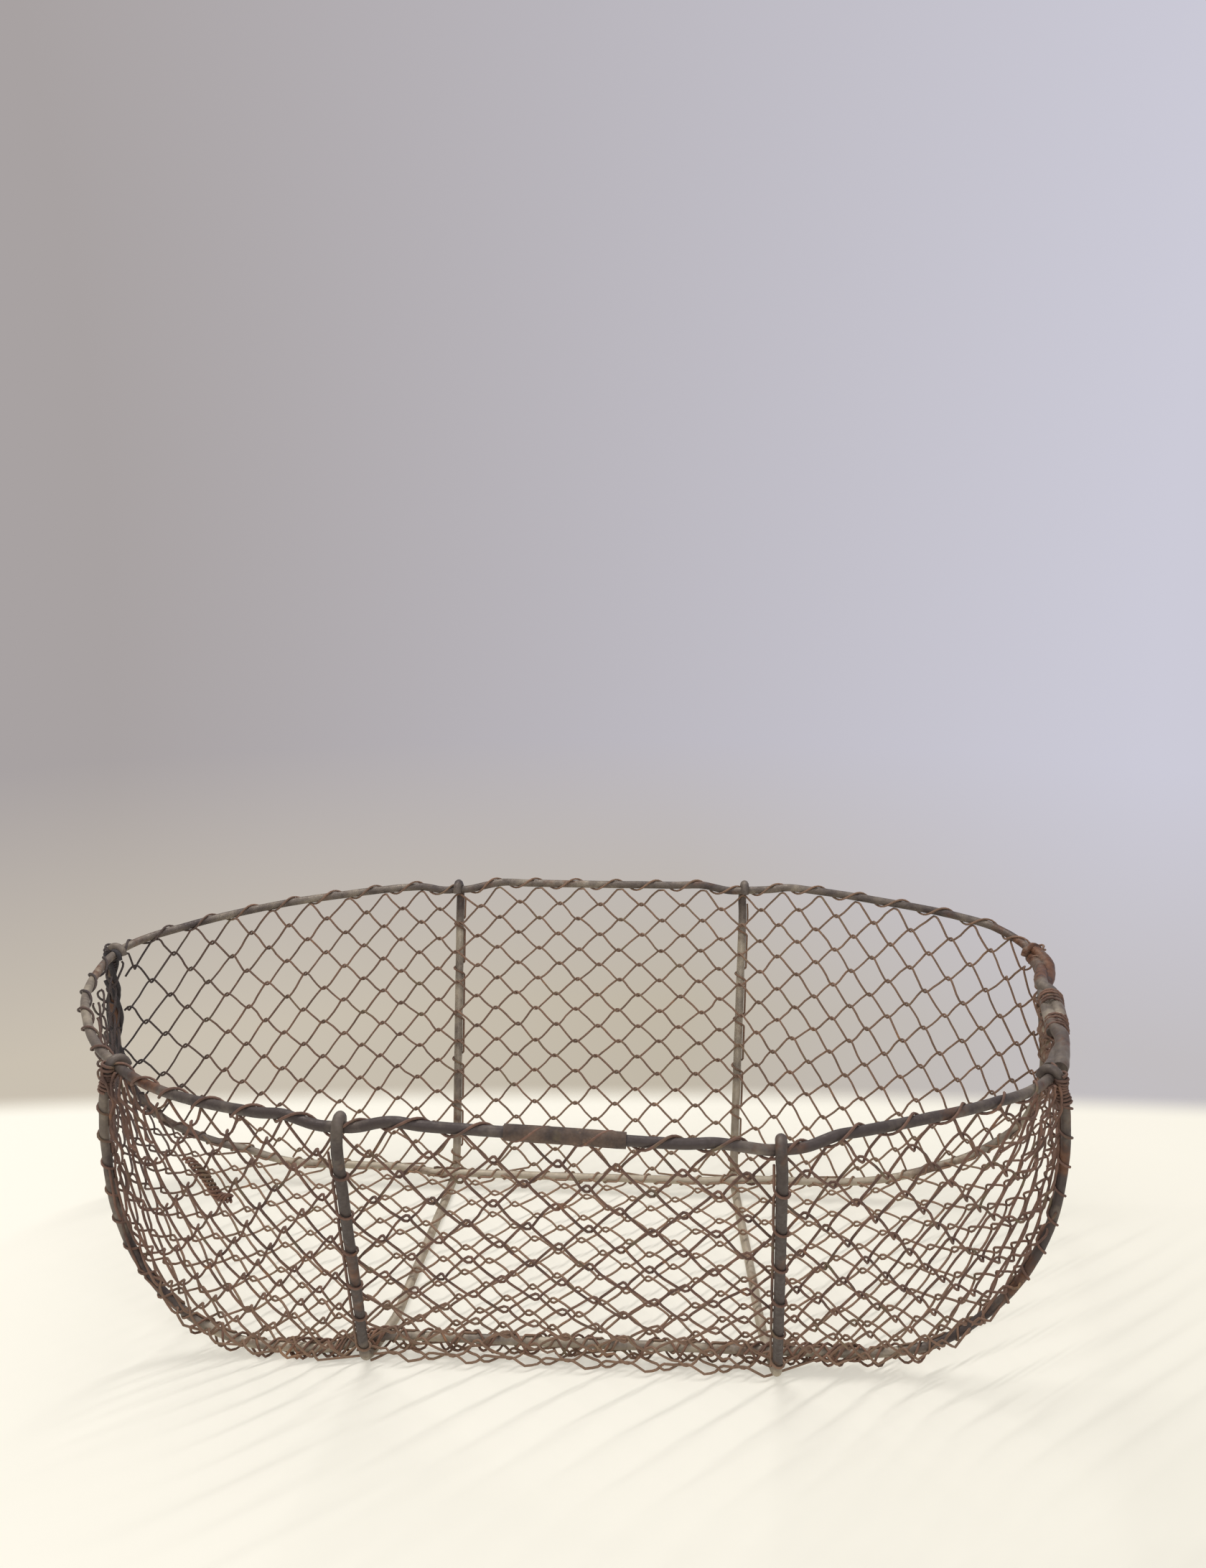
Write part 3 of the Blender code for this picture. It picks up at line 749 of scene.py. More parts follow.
def shaped(name, guide, recipe, sizes, finish, slot, *nodes):
    """A piece that a recipe makes from a guide mesh, turned into a plain mesh that rides on the basket."""
    piece = placed(name, guide)
    maker = piece.modifiers.new("recipe", "NODES")
    maker.node_group = recipe
    values = {**sizes, "Finish": finish}
    for socket in recipe.interface.items_tree:
        if socket.name in values:
            maker[socket.identifier] = values[socket.name]
    made = piece.evaluated_get(bpy.context.evaluated_depsgraph_get())
    mesh = bpy.data.meshes.new_from_object(made)
    mesh.name = name
    piece.modifiers.remove(maker)
    piece.data = mesh
    bpy.data.meshes.remove(guide)
    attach(piece, "root")
    if nodes:
        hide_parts(*nodes)


def paths_mesh(name, *paths):
    """Guide mesh of one or more open paths."""
    points = []
    edges = []
    for path in paths:
        first = len(points)
        points += [tuple(point) for point in path]
        edges += [(index, index + 1) for index in range(first, len(points) - 1)]
    mesh = bpy.data.meshes.new(name)
    mesh.from_pydata(points, edges, [])
    return mesh


def sheet_mesh(name, patches):
    """Guide sheet of patches, each a grid of points and of their shares of the columns and rows."""
    points = []
    faces = []
    cells = []
    for grid, shares in patches:
        first = len(points)
        columns, rows = grid.shape[:2]
        points += [tuple(point) for point in grid.reshape(-1, 3)]
        cells += [tuple(share) for share in shares.reshape(-1, 2)]
        for column in range(columns - 1):
            for row in range(rows - 1):
                corner = first + column * rows + row
                faces.append((corner, corner + rows, corner + rows + 1, corner + 1))
    mesh = bpy.data.meshes.new(name)
    mesh.from_pydata(points, [], faces)
    layer = mesh.uv_layers.new(name="cells")
    for loop in mesh.loops:
        layer.data[loop.index].uv = cells[loop.vertex_index]
    mesh.shade_smooth()
    return mesh


def rim_side(face):
    """The rim along one long side, from corner to corner, a little under and inside the rod."""
    side = rim[rim[:, 1] * face > keel_y - RIM_WRAP[face]]
    side = side[np.argsort(side[:, 0])]
    return side - RIM_HANG * UP - face * RIM_INSET * ACROSS


def keel_run(face):
    """A keel rib from where it leaves the rim on the left to where it meets it on the right."""
    keel = along(keels[face], np.linspace(0.0, 1.0, KEEL_SAMPLES))
    half = len(keel) // 2
    first = np.argmax(keel[:half, 2])
    last = half + np.argmax(keel[half:, 2])
    between = keel[first : last + 1]
    gaps = np.linalg.norm(between[:, None, :2] - rim[None, :, :2], axis=-1)
    return between[between[:, 2] < rim[np.argmin(gaps, axis=1), 2]]


def keel_edge(face):
    """The line along a keel rib's outer face, below the tops of its ends, where the netting turns round."""
    rings = keels[face][keels[face][:, 2] < UPRIGHT_Z]
    path = stretch(rings, 0.0, run_of(rings)[-1])
    low = np.interp(path[:, 2], BEND_HEIGHTS, (1.0, 0.0))[:, None]
    standoff = UPRIGHT_STANDOFF + (KEEL_STANDOFF - UPRIGHT_STANDOFF) * low
    outward = (KEEL_DROP * low + EDGE_REACH[face] * (1 - low)) * keel_outward(path)
    return path + outward + face * standoff * ACROSS


def foot_x(face, side):
    """Where along X a cross rib's leg meets the floor."""
    low = ribs[side][ribs[side][:, 2] < 2 * RIB_RADIUS]
    return low[np.argmax(low[:, 1] * face), 0]


def leg_run(face, side):
    """The straight leg of a cross rib, from just above its foot to just under the rim."""
    fine = along(ribs[side], np.linspace(0.0, 1.0, LEG_SAMPLES))
    leg = fine[(fine[:, 1] * face > LEG_FOOT_Y) & (fine[:, 2] < LEG_TOP)]
    return leg[np.argsort(leg[:, 2])]


def split_at_x(path, places):
    """Stretches of a path whose x only grows, cut at the given x."""
    run = run_of(path)
    cuts = [0.0] + [float(np.interp(x, path[:, 0], run)) for x in places] + [run[-1]]
    return [stretch(path, start, end) for start, end in zip(cuts, cuts[1:])]


def at_x(path, places):
    """Points of a path at the given x."""
    path = ordered(path, 0)
    return np.stack([np.interp(places, path[:, 0], path[:, axis]) for axis in range(3)], -1)


def spiral_at(face, shares):
    """Which spiral lies at a share of the way down the side: the upper ones are stretched further apart."""
    count = np.linspace(0.0, 1.0, SPIRAL_SAMPLES)
    down = (1 + SPIRAL_STRETCH[face]) * count - SPIRAL_STRETCH[face] * count**3
    return np.interp(shares, down, count)


def widening(edge):
    """An edge from a cross rib outward, drawn so that it never turns back."""
    side = np.sign(edge[-1, 0] - edge[0, 0])
    steps = MERGE_DISTANCE * np.arange(len(edge))
    wide = np.maximum.accumulate(edge[:, 0] * side) + steps
    return np.column_stack([wide * side, edge[:, 1:]])


def bay_patch(face, top, edge):
    """Netting from a cross rib to the keel rib's upright end, with its cells' columns and rows.

    Top and edge run outward from the rib and its foot. The rows rise to the rim's corner on the front, where
    several gather, and fan out a little on the back.
    """
    out = np.sin(np.linspace(0.0, math.pi / 2, SHEET_STEPS))[:, None]
    down = np.linspace(0.0, 1.0, SHEET_STEPS)[None]
    edge = widening(edge)
    upper = at_x(top, top[0, 0] + (top[-1, 0] - top[0, 0]) * out)
    lower = at_x(edge, edge[0, 0] + (edge[-1, 0] - edge[0, 0]) * out)
    grid = upper + (lower - upper) * down[..., None]
    columns_above = run_of(upper[:, 0])[:, None] / BAY_CELL[face]
    columns = columns_above + (BAY_CELLS_BELOW[face] * out - columns_above) * down
    height = np.linalg.norm(lower - upper, axis=-1)
    if face == FRONT:
        last = SPIRALS_TO_KEEL[face] + FRONT_BEND_SPIRALS * 4 * out * (1 - out)
    else:
        last = SPIRALS_TO_KEEL[face] * height / height[0] / (1 + BACK_FAN * out)
    first = CORNER_SPIRALS[face] * out**CORNER_POWER
    rows = first + (last - first) * spiral_at(face, down)
    return grid, columns, rows


def side_sheet(name, face):
    """Guide sheet of one long side, with its number of columns."""
    tops = split_at_x(rim_side(face), [ribs[side][0, 0] for side in (LEFT, RIGHT)])
    edges = split_at_x(keel_edge(face), [foot_x(face, side) for side in (LEFT, RIGHT)])
    left = bay_patch(face, tops[0][::-1], edges[0][::-1])
    right = bay_patch(face, tops[2], edges[2])
    shares = np.linspace(0.0, 1.0, SHEET_STEPS)[:, None]
    levels = np.linspace(0.0, 1.0, SHEET_STEPS)[None]
    upper = along(tops[1], shares)
    lower = along(edges[1], shares)
    middle = upper + (lower - upper) * levels[..., None]
    start = math.ceil(left[1].max())
    columns = start + CELLS_BETWEEN_RIBS + math.ceil(right[1].max())
    inside = np.broadcast_to(start + CELLS_BETWEEN_RIBS * shares, middle.shape[:2])
    rows = np.broadcast_to(SPIRALS_TO_KEEL[face] * spiral_at(face, levels), inside.shape)
    grids = [
        (left[0][::-1], (start - left[1])[::-1], left[2][::-1]),
        (middle, inside, rows),
        (right[0], start + CELLS_BETWEEN_RIBS + right[1], right[2]),
    ]
    if face == FRONT:
        inward, downward, further = np.array(TURN_UNDER).T
        under = lower - face * inward[None, :, None] * ACROSS - downward[None, :, None] * UP
        rows = np.broadcast_to(SPIRALS_TO_KEEL[face] + further, under.shape[:2])
        grids.append((under, np.broadcast_to(inside[:, :1], rows.shape), rows))
    patches = [
        (grid, np.stack([cells / columns, rows / SPIRALS[face]], -1))
        for grid, cells, rows in grids
    ]
    return sheet_mesh(name, patches), columns


def rim_bulge(side, front, back, shares):
    """How far the rim's end stands out past and above a straight line between its two corners."""
    end = rim[(abs(rim[:, 1]) < keel_y) & (rim[:, 0] * side > 0)]
    end = end[np.argsort(end[:, 1])]
    straight = front + (back - front) * shares[:, None]
    bent = np.stack([np.interp(straight[:, 1], end[:, 1], end[:, axis]) for axis in range(3)], -1)
    return bent - straight - side * END_BULGE_INSET * ALONG


def floor_sheet(name):
    """Guide sheet of the long strip up one end, along the floor and up the other end."""
    runs = {face: keel_run(face) for face in (FRONT, BACK)}
    lengths = {face: run_of(run)[-1] for face, run in runs.items()}
    mean_length = (lengths[FRONT] + lengths[BACK]) / 2
    cut = END_TOP_CUT / mean_length
    steps = np.linspace(cut, 1 - cut, 3 * SHEET_STEPS)
    lines = {face: along(run, steps) for face, run in runs.items()}
    shares = np.linspace(0.0, 1.0, SHEET_STEPS)
    grid = lines[FRONT][:, None] + (lines[BACK] - lines[FRONT])[:, None] * shares[None, :, None]
    for side, index in ((LEFT, 0), (RIGHT, -1)):
        near = 1 - steps if side == RIGHT else steps
        fade = np.clip(1 - near / END_BULGE_SHARE, 0.0, 1.0) ** END_BULGE_POWER
        bulge = rim_bulge(side, runs[FRONT][index], runs[BACK][index], shares)
        grid += fade[:, None, None] * bulge[None]
    outward = unit(keel_outward(lines[FRONT]) + keel_outward(lines[BACK]))
    low = np.interp(lines[FRONT][:, 2], BEND_HEIGHTS, (1.0, 0.0))[:, None]
    by_edge = np.clip((abs(2 * shares - 1) - FLOOR_DIP_SHARE) / (1 - FLOOR_DIP_SHARE), 0.0, 1.0)
    grid += (outward * low)[:, None] * (FLOOR_DIP * by_edge**2)[None, :, None]
    columns = round(mean_length / FLOOR_CELL)
    along_share, across_share = np.meshgrid((steps - cut) / (1 - 2 * cut), shares, indexing="ij")
    return sheet_mesh(name, [(grid, np.stack([along_share, across_share], -1))]), columns


def new_material(name):
    """A new material, its node tree and its shader."""
    material = bpy.data.materials.new(name)
    material.use_nodes = True
    return material, Tree(material.node_tree), material.node_tree.nodes["Principled BSDF"]


def textured(name, roughness, bump, grain, metallic):
    """A material whose surface is grained, its colour left to be linked."""
    material, tree, shader = new_material(name)
    shader.inputs["Metallic"].default_value = metallic
    place = tree.add("ShaderNodeTexCoord").outputs["Object"]
    fine = tree.noise(place, grain, detail=4.0, roughness=0.6)
    height = tree.add("ShaderNodeBump", {"Height": fine, "Strength": bump, "Distance": GRAIN_DEPTH})
    tree.group.links.new(height.outputs[0], shader.inputs["Normal"])
    shine = tree.ramp(fine, (0.3, roughness[0]), (0.7, roughness[1]))
    tree.group.links.new(shine, shader.inputs["Roughness"])
    return material, tree, place, shader.inputs["Base Color"]


def weathered_rod():
    """Old galvanised rod: slate to beige zinc, with brown rust that is thickest at the basket's ends.
    Painted light makes it paler near the floor and on the back below the rim, and painted shade makes it
    darker at the front.
    """
    material, tree, place, colour = textured("weathered rod", **ROD_SURFACE)
    x, y, z = tree.parted(place)
    below_rim = tree.grown(z, BELOW_RIM)
    on_rim = tree.math("SUBTRACT", 1.0, below_rim)
    # painted light: paler near the bright floor
    low = tree.product(tree.grown(z, ROD_LOW), ROD_LOW_PAINTED_LIGHT)
    # painted light: paler on the back, below the rim, fading out towards the left
    painted_backlight = tree.product(y, ROD_BACK_PAINTED_LIGHT, below_rim, tree.grown(x, ROD_BACK_FROM_LEFT))
    worn = tree.product(tree.grown(x, RIM_LEFT_END), RIM_LEFT_PALE, on_rim, tree.grown(y, RIM_LEFT_FRONT))
    # painted shade: darker at the front
    before = tree.product(tree.grown(y, ROD_FRONT_SHADE_SPAN), ROD_FRONT_PAINTED_SHADE)
    tone = tree.noise(place, ZINC_SCALE, detail=5.0, roughness=0.62)
    for shift in (low, painted_backlight, worn, before):
        tone = tree.math("ADD", tone, shift)
    zinc = tree.ramp(tone, (0.36, SLATE), (0.55, GREY_ZINC), (0.80, BEIGE_ZINC))
    speckle = tree.noise(place, SPECKLE_SCALE, detail=3.0)
    rust = tree.ramp(speckle, *zip((0.32, 0.52, 0.70), ROD_RUST))
    ends = tree.product(tree.grown(tree.math("ABSOLUTE", x), RUSTED_ENDS), ENDS_RUST)
    lap = tree.product(tree.grown(x, RUSTED_LAP), LAP_RUST, on_rim)
    patches = tree.noise(place, RUST_PATCH_SCALE, detail=6.0, roughness=0.66)
    patches = tree.math("ADD", patches, tree.math("ADD", ends, lap))
    rusted = tree.ramp(patches, (0.55, 0.0), (0.68, 1.0))
    tree.group.links.new(tree.mixed(rusted, zinc, rust), colour)
    return material


def rusted_wire(name, colours, bloom_shift, painted_light_limit):
    """Rusted wire: brown scale, orange bloom and worn patches, with painted light that makes it paler low
    and behind up to a limit, and painted shade at the back of the basket's left end.
    """
    dark, brown, orange = colours
    material, tree, place, colour = textured(name, **WIRE_SURFACE)
    flakes = tree.noise(place, FLAKE_SCALE, detail=4.0, roughness=0.6)
    scale = tree.ramp(flakes, (0.34, dark), (0.66, brown))
    spots = tree.noise(place, BLOOM_SCALE, detail=5.0, roughness=0.7)
    bloom = tree.ramp(spots, (0.60 - bloom_shift, 0.0), (0.72 - bloom_shift, 1.0))
    worn = tree.ramp(tree.noise(place, WEAR_SCALE), (0.60, 0.0), (0.72, 0.8))
    wire = tree.mixed(worn, scale, OLIVE_WEAR)
    wire = tree.mixed(bloom, wire, (*orange, 1.0))
    x, y, z = tree.parted(place)
    # painted light: paler near the bright floor and on the back, towards a tan
    low = tree.product(tree.grown(z, WIRE_LOW), WIRE_LOW_PAINTED_LIGHT)
    strength = tree.math("MULTIPLY_ADD", x, WIRE_BACK_PAINTED_LIGHT_RIGHT, WIRE_BACK_PAINTED_LIGHT)
    painted_backlight = tree.math("MULTIPLY", y, strength, clamp=True)
    pale = tree.math("MINIMUM", tree.math("ADD", low, painted_backlight), painted_light_limit)
    wire = tree.mixed(pale, wire, PAINTED_LIGHT_TAN)
    # painted shade: darker at the back of the basket's left end
    shaded = tree.product(tree.grown(x, WIRE_LEFT_END), tree.grown(y, WIRE_LEFT_BACK), WIRE_LEFT_PAINTED_SHADE)
    wire = tree.mixed(shaded, wire, LEFT_END_PAINTED_SHADE)
    tree.group.links.new(wire, colour)
    return material


def winding(name, paths, radius, wire, finish, slot, *nodes, turn, slack, sag=0.0, tangle=0.0, share=1.0,
            hand=-1.0, seed=0.0):
    """Wire wound round each of some paths."""
    sizes = {
        "Step": min(turn * share / STEPS_PER_TURN, WIRE_STEP),
        "Turn Length": turn,
        "Turn Share": share,
        "Hand": hand,
        "Seed": seed,
        "Looseness Scale": LOOSENESS / turn,
        "Slack": slack,
        "Winding Radius": radius,
        "Sag": sag,
        "Tangle": tangle,
        "Tangle Scale": TANGLE_SCALE,
        "Wire Radius": wire,
        "Sides": WIRE_SIDES,
    }
    shaped(name, paths_mesh(name, *paths), winding_made, sizes, finish, slot, *nodes)


def rod(name, paths, radius, pitting, pit_scale, finish, *nodes):
    """A bent rod along each of some paths."""
    sizes = {
        "Step": ROD_STEP,
        "Wander": ROD_WANDER,
        "Pitting": pitting,
        "Pit Scale": pit_scale,
        "Rod Radius": radius,
        "Sides": ROD_SIDES,
    }
    shaped(name, paths_mesh(name, *paths), rod_made, sizes, finish, "frame_rod", *nodes)


def rods():
    """The frame: the rim, the cross ribs and the keel ribs."""
    rod("rim_rod", [rim], RIM_RADIUS, ROD_PITTING, ROD_PIT_SCALE, rod_finish, "rim")
    for label, side in SIDES.items():
        node = label + "_cross_rib"
        rod(node + "_rod", [ribs[side]], RIB_RADIUS, ROD_PITTING, ROD_PIT_SCALE, rod_finish, node)
    for label, face in FACES.items():
        node = label + "_keel_rib"
        rod(node + "_rod", [keels[face]], KEEL_RADIUS, ROD_PITTING, ROD_PIT_SCALE, rod_finish, node)


def netting(name, sheet, rows, seed, *nodes):
    """Chain-link on a guide sheet."""
    guide, columns = sheet
    sizes = {
        "Columns": float(columns),
        "Rows": rows,
        "Points Per Turn": float(POINTS_PER_TURN),
        "Knuckle Reach": KNUCKLE_REACH,
        "Knuckle Depth": KNUCKLE_DEPTH,
        "Seed": seed,
        "Cell Drift": CELL_DRIFT,
        "Ripple": NET_RIPPLE,
        "Wire Radius": NET_WIRE,
        "Sides": WIRE_SIDES,
    }
    shaped(name, guide, chain_link_made, sizes, net_finish, "net_wire", *nodes)


def nettings():
    """The netting of the two long sides, and of the floor with both ends."""
    for label, face in FACES.items():
        nodes = [label + "_" + part + "_net" for part in ("left", "middle", "right")]
        sheet = side_sheet(label + "_sheet", face)
        netting(label + "_netting", sheet, SPIRALS[face], NET_SEED + face, *nodes)
    ends = [side + "_end_" + part + "_net" for side in SIDES for part in ("low", "high", "upright")]
    sheet = floor_sheet("floor_sheet")
    netting("floor_netting", sheet, SPIRALS_ACROSS_FLOOR, FLOOR_NET_SEED, "floor_net", *ends)


def lacings():
    """Wire that holds the netting to the rim, the keel ribs and the legs of the cross ribs."""
    laced = stretch(rim, RIM_LACING_START, run_of(rim)[-1] - RIM_LACING_START)
    winding("rim_lacing", [laced], RIM_RADIUS + NET_WIRE, NET_WIRE, net_finish, "net_wire", **RIM_LACING)
    for label, face in FACES.items():
        radius = KEEL_RADIUS + NET_WIRE / 2
        winding(label + "_keel_lacing", [keel_run(face)], radius, NET_WIRE, net_finish, "net_wire",
                seed=KEEL_LACING_SEED + face, **KEEL_LACING)
        for end, side in SIDES.items():
            radius = RIB_RADIUS + NET_WIRE
            winding(label + "_" + end + "_leg_lacing", [leg_run(face, side)], radius, NET_WIRE, net_finish,
                    "net_wire", seed=LEG_LACING_SEED + face + side, **LEG_LACING)


def strands(path, count, turn):
    """Copies of a path that start a share of a turn apart, so that their wires lie side by side."""
    length = run_of(path)[-1]
    return [stretch(path, turn * index / count, length) for index in range(count)]


def keel_loops():
    """Loose loops round the front keel rib, which hang down to the floor."""
    run = keel_run(FRONT)
    low = run[run[:, 2] < BEND_HEIGHTS[0]] - KEEL_LOOP_HANG * UP
    for label, hand in SIDES.items():
        name = "front_keel_" + label + "_hand_loops"
        winding(name, [low], KEEL_LOOP_RADIUS, NET_WIRE, tie_finish, "net_wire", hand=float(hand),
                seed=LOOP_SEED + hand, **KEEL_LOOPS)


def keel_end(face, side):
    """Half a keel rib, from the top of its hook down past the rim."""
    keel = keels[face] if side == LEFT else keels[face][::-1]
    half = keel[: len(keel) // 2]
    return half[np.argmax(half[:, 2]) :]


def corner_bindings():
    """Wire wound tightly round each keel rib under the rim."""
    bottom = CORNER_BINDING_TOP + CORNER_BINDING_DEPTH
    radius = KEEL_RADIUS + TIE_WIRE / 2
    for name, (face, side) in CORNERS.items():
        upright = stretch(keel_end(face, side), CORNER_BINDING_TOP, bottom, ROD_STEP)
        winding(name + "_corner_binding", [upright], radius, TIE_WIRE, net_finish, "tie_wire",
                name + "_corner_tie", seed=CORNER_SEED + 2 * face + side, **CORNER_BINDING)


def upright_bundle():
    """Thick wires that are bunched along the back keel rib's left upright and over its hook."""
    keel = keels[BACK]
    high = keel[(keel[:, 2] > BUNDLE_FOOT) & (keel[:, 0] < 0)]
    wires = strands(high, BUNDLE_STRANDS, UPRIGHT_BUNDLE["turn"])
    winding("back_left_upright_bundle", wires, KEEL_RADIUS + BUNDLE_WIRE / 2, BUNDLE_WIRE, dark_finish,
            "frame_rod", seed=BUNDLE_SEED, **UPRIGHT_BUNDLE)


def foot_bindings():
    """Wires bunched along the keel ribs where they cross the cross ribs."""
    radius = KEEL_RADIUS + TIE_WIRE / 2
    for name, (face, side) in CORNERS.items():
        keel = keel_run(face)
        wound = FOOT_BINDINGS[face]
        crossing = np.array([foot_x(face, side), face * keel_y, CROSSING_HEIGHT])
        middle = nearest_distance(keel, crossing)
        bound = stretch(keel, middle - side * FOOT_INSIDE[face], middle + side * FOOT_REACH[face])
        wires = strands(bound, FOOT_STRANDS[face], wound["turn"])
        winding(name + "_foot_binding", wires, radius, TIE_WIRE, tie_finish, "tie_wire",
                name + "_keel_tie", seed=FOOT_SEED + 2 * face + side, **wound)


def lap_run(start, end):
    """The line along the rim's right end, midway between its two lapped ends, from one Y to another."""
    length = run_of(rim)[-1]
    first = stretch(rim, 0.0, LAP_END_LENGTH)
    last = stretch(rim, length - LAP_END_LENGTH, length)
    y = np.linspace(start, end, LAP_STEPS)

    def middle(axis):
        before = np.interp(y, first[:, 1], first[:, axis], left=np.nan)
        after = np.interp(y, last[:, 1], last[:, axis], right=np.nan)
        return np.nanmean([before, after], axis=0)

    return np.stack([middle(0), y, middle(2)], -1)


def lap_bindings():
    """Two lumpy sleeves twisted round the rim's lap, and the wire that is wound round them."""
    line = lap_run(*LAP_REACH)
    turn = LAP_TWIST * np.linspace(0.0, 1.0, len(line))
    aside = LAP_SPREAD * np.stack([np.cos(turn), np.zeros_like(turn), np.sin(turn)], -1)
    sleeves = [line + aside, line - aside]
    rod("rim_lap_sleeves", sleeves, LAP_SLEEVE, LAP_SLEEVE_PITTING, SLEEVE_PIT_SCALE, rod_finish)
    radius = LAP_SLEEVE + LAP_SPREAD / 2
    for label, face in FACES.items():
        node = "rim_lap_" + label + "_tie"
        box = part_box(node)
        middle = (box[0][1] + box[1][1]) / 2
        around = lap_run(middle - LAP_BINDING_LENGTH / 2, middle + LAP_BINDING_LENGTH / 2)
        winding("rim_lap_" + label + "_binding", [around], radius, TIE_WIRE, net_finish, "tie_wire", node,
                seed=LAP_SEED + face, **LAP_BINDING)


def front_sleeve():
    """A short tube round the front of the rim."""
    start, end = FRONT_SLEEVE_ENDS
    covered = rim[(rim[:, 1] < 0) & (rim[:, 0] > start) & (rim[:, 0] < end)]
    paths = [ordered(covered, 0)]
    rod("front_rim_sleeve", paths, FRONT_SLEEVE, FRONT_SLEEVE_PITTING, SLEEVE_PIT_SCALE, sleeve_finish)


def gathers():
    """Strands that run from the front corners down over the netting."""
    steps = np.linspace(0.0, 1.0, GATHER_STEPS)[:, None]
    first = np.array(GATHER_FIRST)
    last = np.array(GATHER_LAST)
    for name, side in SIDES.items():
        corner = keel_run(FRONT)[0 if side == LEFT else -1]
        wires = []
        for share in np.linspace(0.0, 1.0, GATHER_STRANDS):
            start, bend, end = corner + (first + (last - first) * share) * np.array([-side, 1, 1])
            wires.append((1 - steps) ** 2 * start + 2 * steps * (1 - steps) * bend + steps**2 * end)
        winding("front_" + name + "_gather", wires, GATHER_RADIUS, TIE_WIRE, net_finish, "tie_wire",
                seed=GATHER_SEED + side, **GATHER)


def mend():
    """Wires twisted together where the front left netting has been mended."""
    wires = strands(even(np.array(MEND_POINTS)), MEND_STRANDS, MEND["turn"])
    winding("front_left_mend", wires, MEND_RADIUS, TIE_WIRE, tie_finish, "tie_wire", seed=MEND_SEED, **MEND)


def pale_floor():
    """A floor that fades into the background away from the basket."""
    mesh = bpy.data.meshes.new("floor")
    signs = ((-1, -1), (1, -1), (1, 1), (-1, 1))
    corners = [(x * FLOOR_REACH, y * FLOOR_REACH, 0.0) for x, y in signs]
    mesh.from_pydata(corners, [], [(0, 1, 2, 3)])
    floor = placed("floor", mesh)
    material, tree, shader = new_material("pale floor")
    shader.inputs["Base Color"].default_value = FLOOR_COLOUR
    shader.inputs["Roughness"].default_value = FLOOR_ROUGHNESS
    place = tree.add("ShaderNodeTexCoord").outputs["Object"]
    away = tree.add("ShaderNodeVectorMath", {0: place, 1: FLOOR_MIDDLE}, operation="DISTANCE")
    sockets = {0: away.outputs["Value"], 1: FLOOR_FADE[0], 2: FLOOR_FADE[1]}
    fade = tree.add("ShaderNodeMapRange", sockets, interpolation_type="SMOOTHSTEP").outputs[0]
    glow = tree.add("ShaderNodeEmission", {"Color": FLOOR_GLOW}).outputs[0]
    share = tree.product(tree.seen(), GLOW_SHARE)
    pale = tree.add("ShaderNodeMixShader", {0: share, 1: shader.outputs[0], 2: glow}).outputs[0]
    clear = tree.add("ShaderNodeBsdfTransparent").outputs[0]
    blend = tree.add("ShaderNodeMixShader", {0: fade, 1: pale, 2: clear})
    tree.group.links.new(blend.outputs[0], tree.group.nodes["Material Output"].inputs[0])
    mesh.materials.append(material)


def pale_sky():
    """Soft light from all round, which is seen as a grey background, warmer below."""
    world = bpy.data.worlds.new("studio")
    world.use_nodes = True
    tree = Tree(world.node_tree)
    x, _, z = tree.parted(tree.add("ShaderNodeTexCoord").outputs["Generated"])
    right = tree.grown(x, BACKDROP_SPAN)
    low = tree.grown(z, BACKDROP_FALL)
    above = tree.ramp(right, (0.0, BACKDROP_LEFT), (1.0, BACKDROP_RIGHT))
    tones = (BACKDROP_LOW_LEFT, BACKDROP_LOW_MIDDLE, BACKDROP_LOW_RIGHT)
    below = tree.ramp(right, *zip((0.15, 0.55, 0.95), tones))
    backdrop = tree.mixed(low, above, below)
    colour = tree.mixed(tree.seen(), SKY_LIGHT, backdrop)
    tree.group.links.new(colour, world.node_tree.nodes["Background"].inputs["Color"])
    bpy.context.scene.world = world


def area_lamp(name, **settings):
    """A new area lamp in the scene."""
    light = bpy.data.lights.new(name, "AREA")
    for setting, value in settings.items():
        setattr(light, setting, value)
    return placed(name, light)


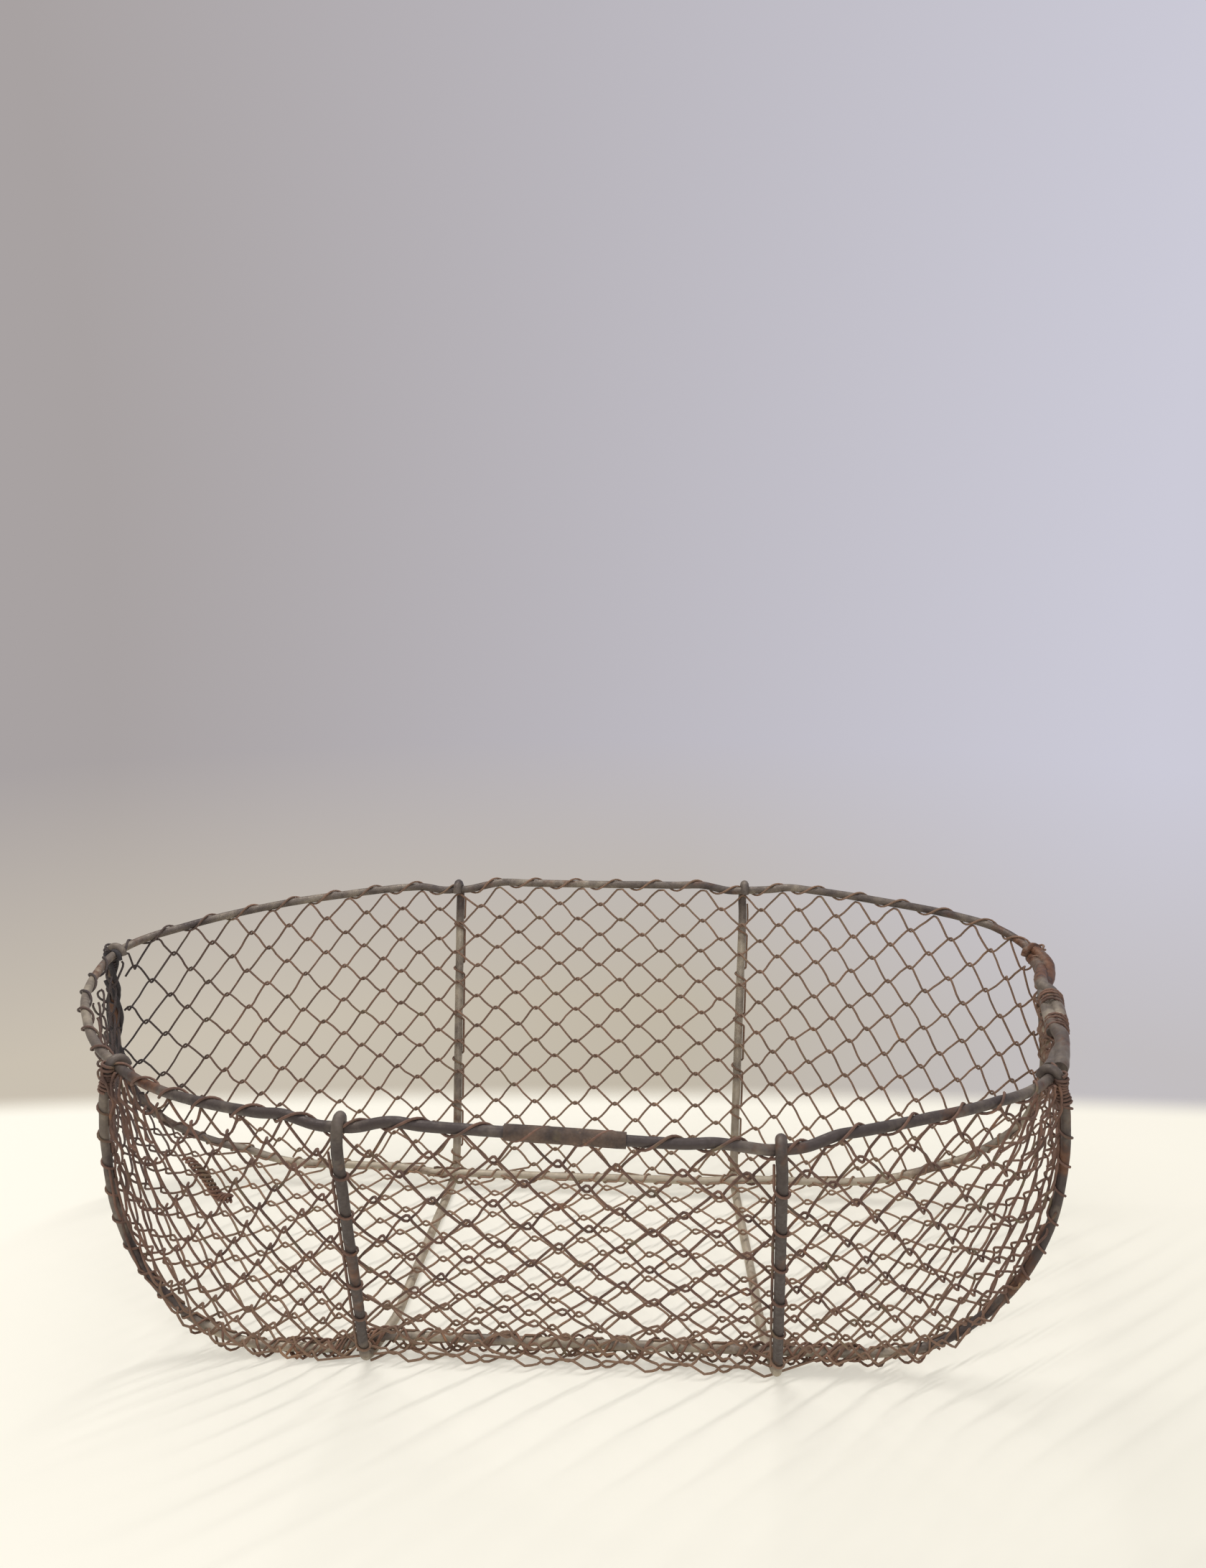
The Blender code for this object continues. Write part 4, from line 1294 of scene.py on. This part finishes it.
def strip_light():
    """A long narrow lamp above and behind the basket, which draws thin shadows along its own length."""
    length, width = STRIP_SIZE
    shape = {"shape": "RECTANGLE", "size": length, "size_y": width}
    lamp = area_lamp("strip", energy=STRIP_POWER, color=STRIP_COLOUR, **shape)
    level = Matrix.Rotation(STRIP_TURN, 4, "Z")
    lamp.matrix_world = Matrix.Translation(STRIP_PLACE) @ level @ Matrix.Rotation(-STRIP_TILT, 4, "X")


def fill_light():
    """A broad lamp above the camera, which lightens the shade in front of the basket."""
    lamp = area_lamp("fill", energy=FILL_POWER, shape="DISK", size=FILL_SIZE)
    lamp.location = FILL_PLACE
    lamp.rotation_euler = (math.atan2(-FILL_PLACE[1], FILL_PLACE[2]), 0.0, 0.0)


def camera():
    """The view of the photograph, level at first and then turned."""
    lens = bpy.data.cameras.new("photograph")
    lens.sensor_width = SENSOR
    lens.lens = FOCAL_PIXELS * SENSOR / PICTURE_HEIGHT
    lens.clip_start = CLIP_START
    view = placed("photograph", lens)
    level = Matrix.Rotation(math.pi / 2, 4, "X")
    yaw = Matrix.Rotation(CAMERA_YAW, 4, "Z")
    pitch = Matrix.Rotation(-CAMERA_PITCH, 4, "X")
    roll = Matrix.Rotation(CAMERA_ROLL, 4, "Y")
    view.matrix_world = Matrix.Translation(CAMERA_PLACE) @ yaw @ pitch @ roll @ level
    bpy.context.scene.camera = view


rod_made = rod_recipe()
winding_made = winding_recipe()
chain_link_made = chain_link_recipe()
rod_finish = weathered_rod()
net_finish = rusted_wire("rusted net wire", NET_COLOURS, bloom_shift=-0.01, painted_light_limit=0.60)
tie_finish = rusted_wire("rusted tie wire", TIE_COLOURS, bloom_shift=0.03, painted_light_limit=0.12)
# the bundle's near-black is partly rust scale and partly painted shade
dark_finish = rusted_wire("scaled and shaded wire", BUNDLE_SCALE_AND_SHADE_COLOURS, bloom_shift=-0.05, painted_light_limit=0.0)
sleeve_finish = rusted_wire("browned sleeve", SLEEVE_COLOURS, bloom_shift=0.0, painted_light_limit=0.0)
rods()
nettings()
lacings()
keel_loops()
corner_bindings()
upright_bundle()
foot_bindings()
lap_bindings()
front_sleeve()
gathers()
mend()
pale_floor()
pale_sky()
strip_light()
fill_light()
camera()
bpy.context.scene.view_settings.view_transform = "Standard"
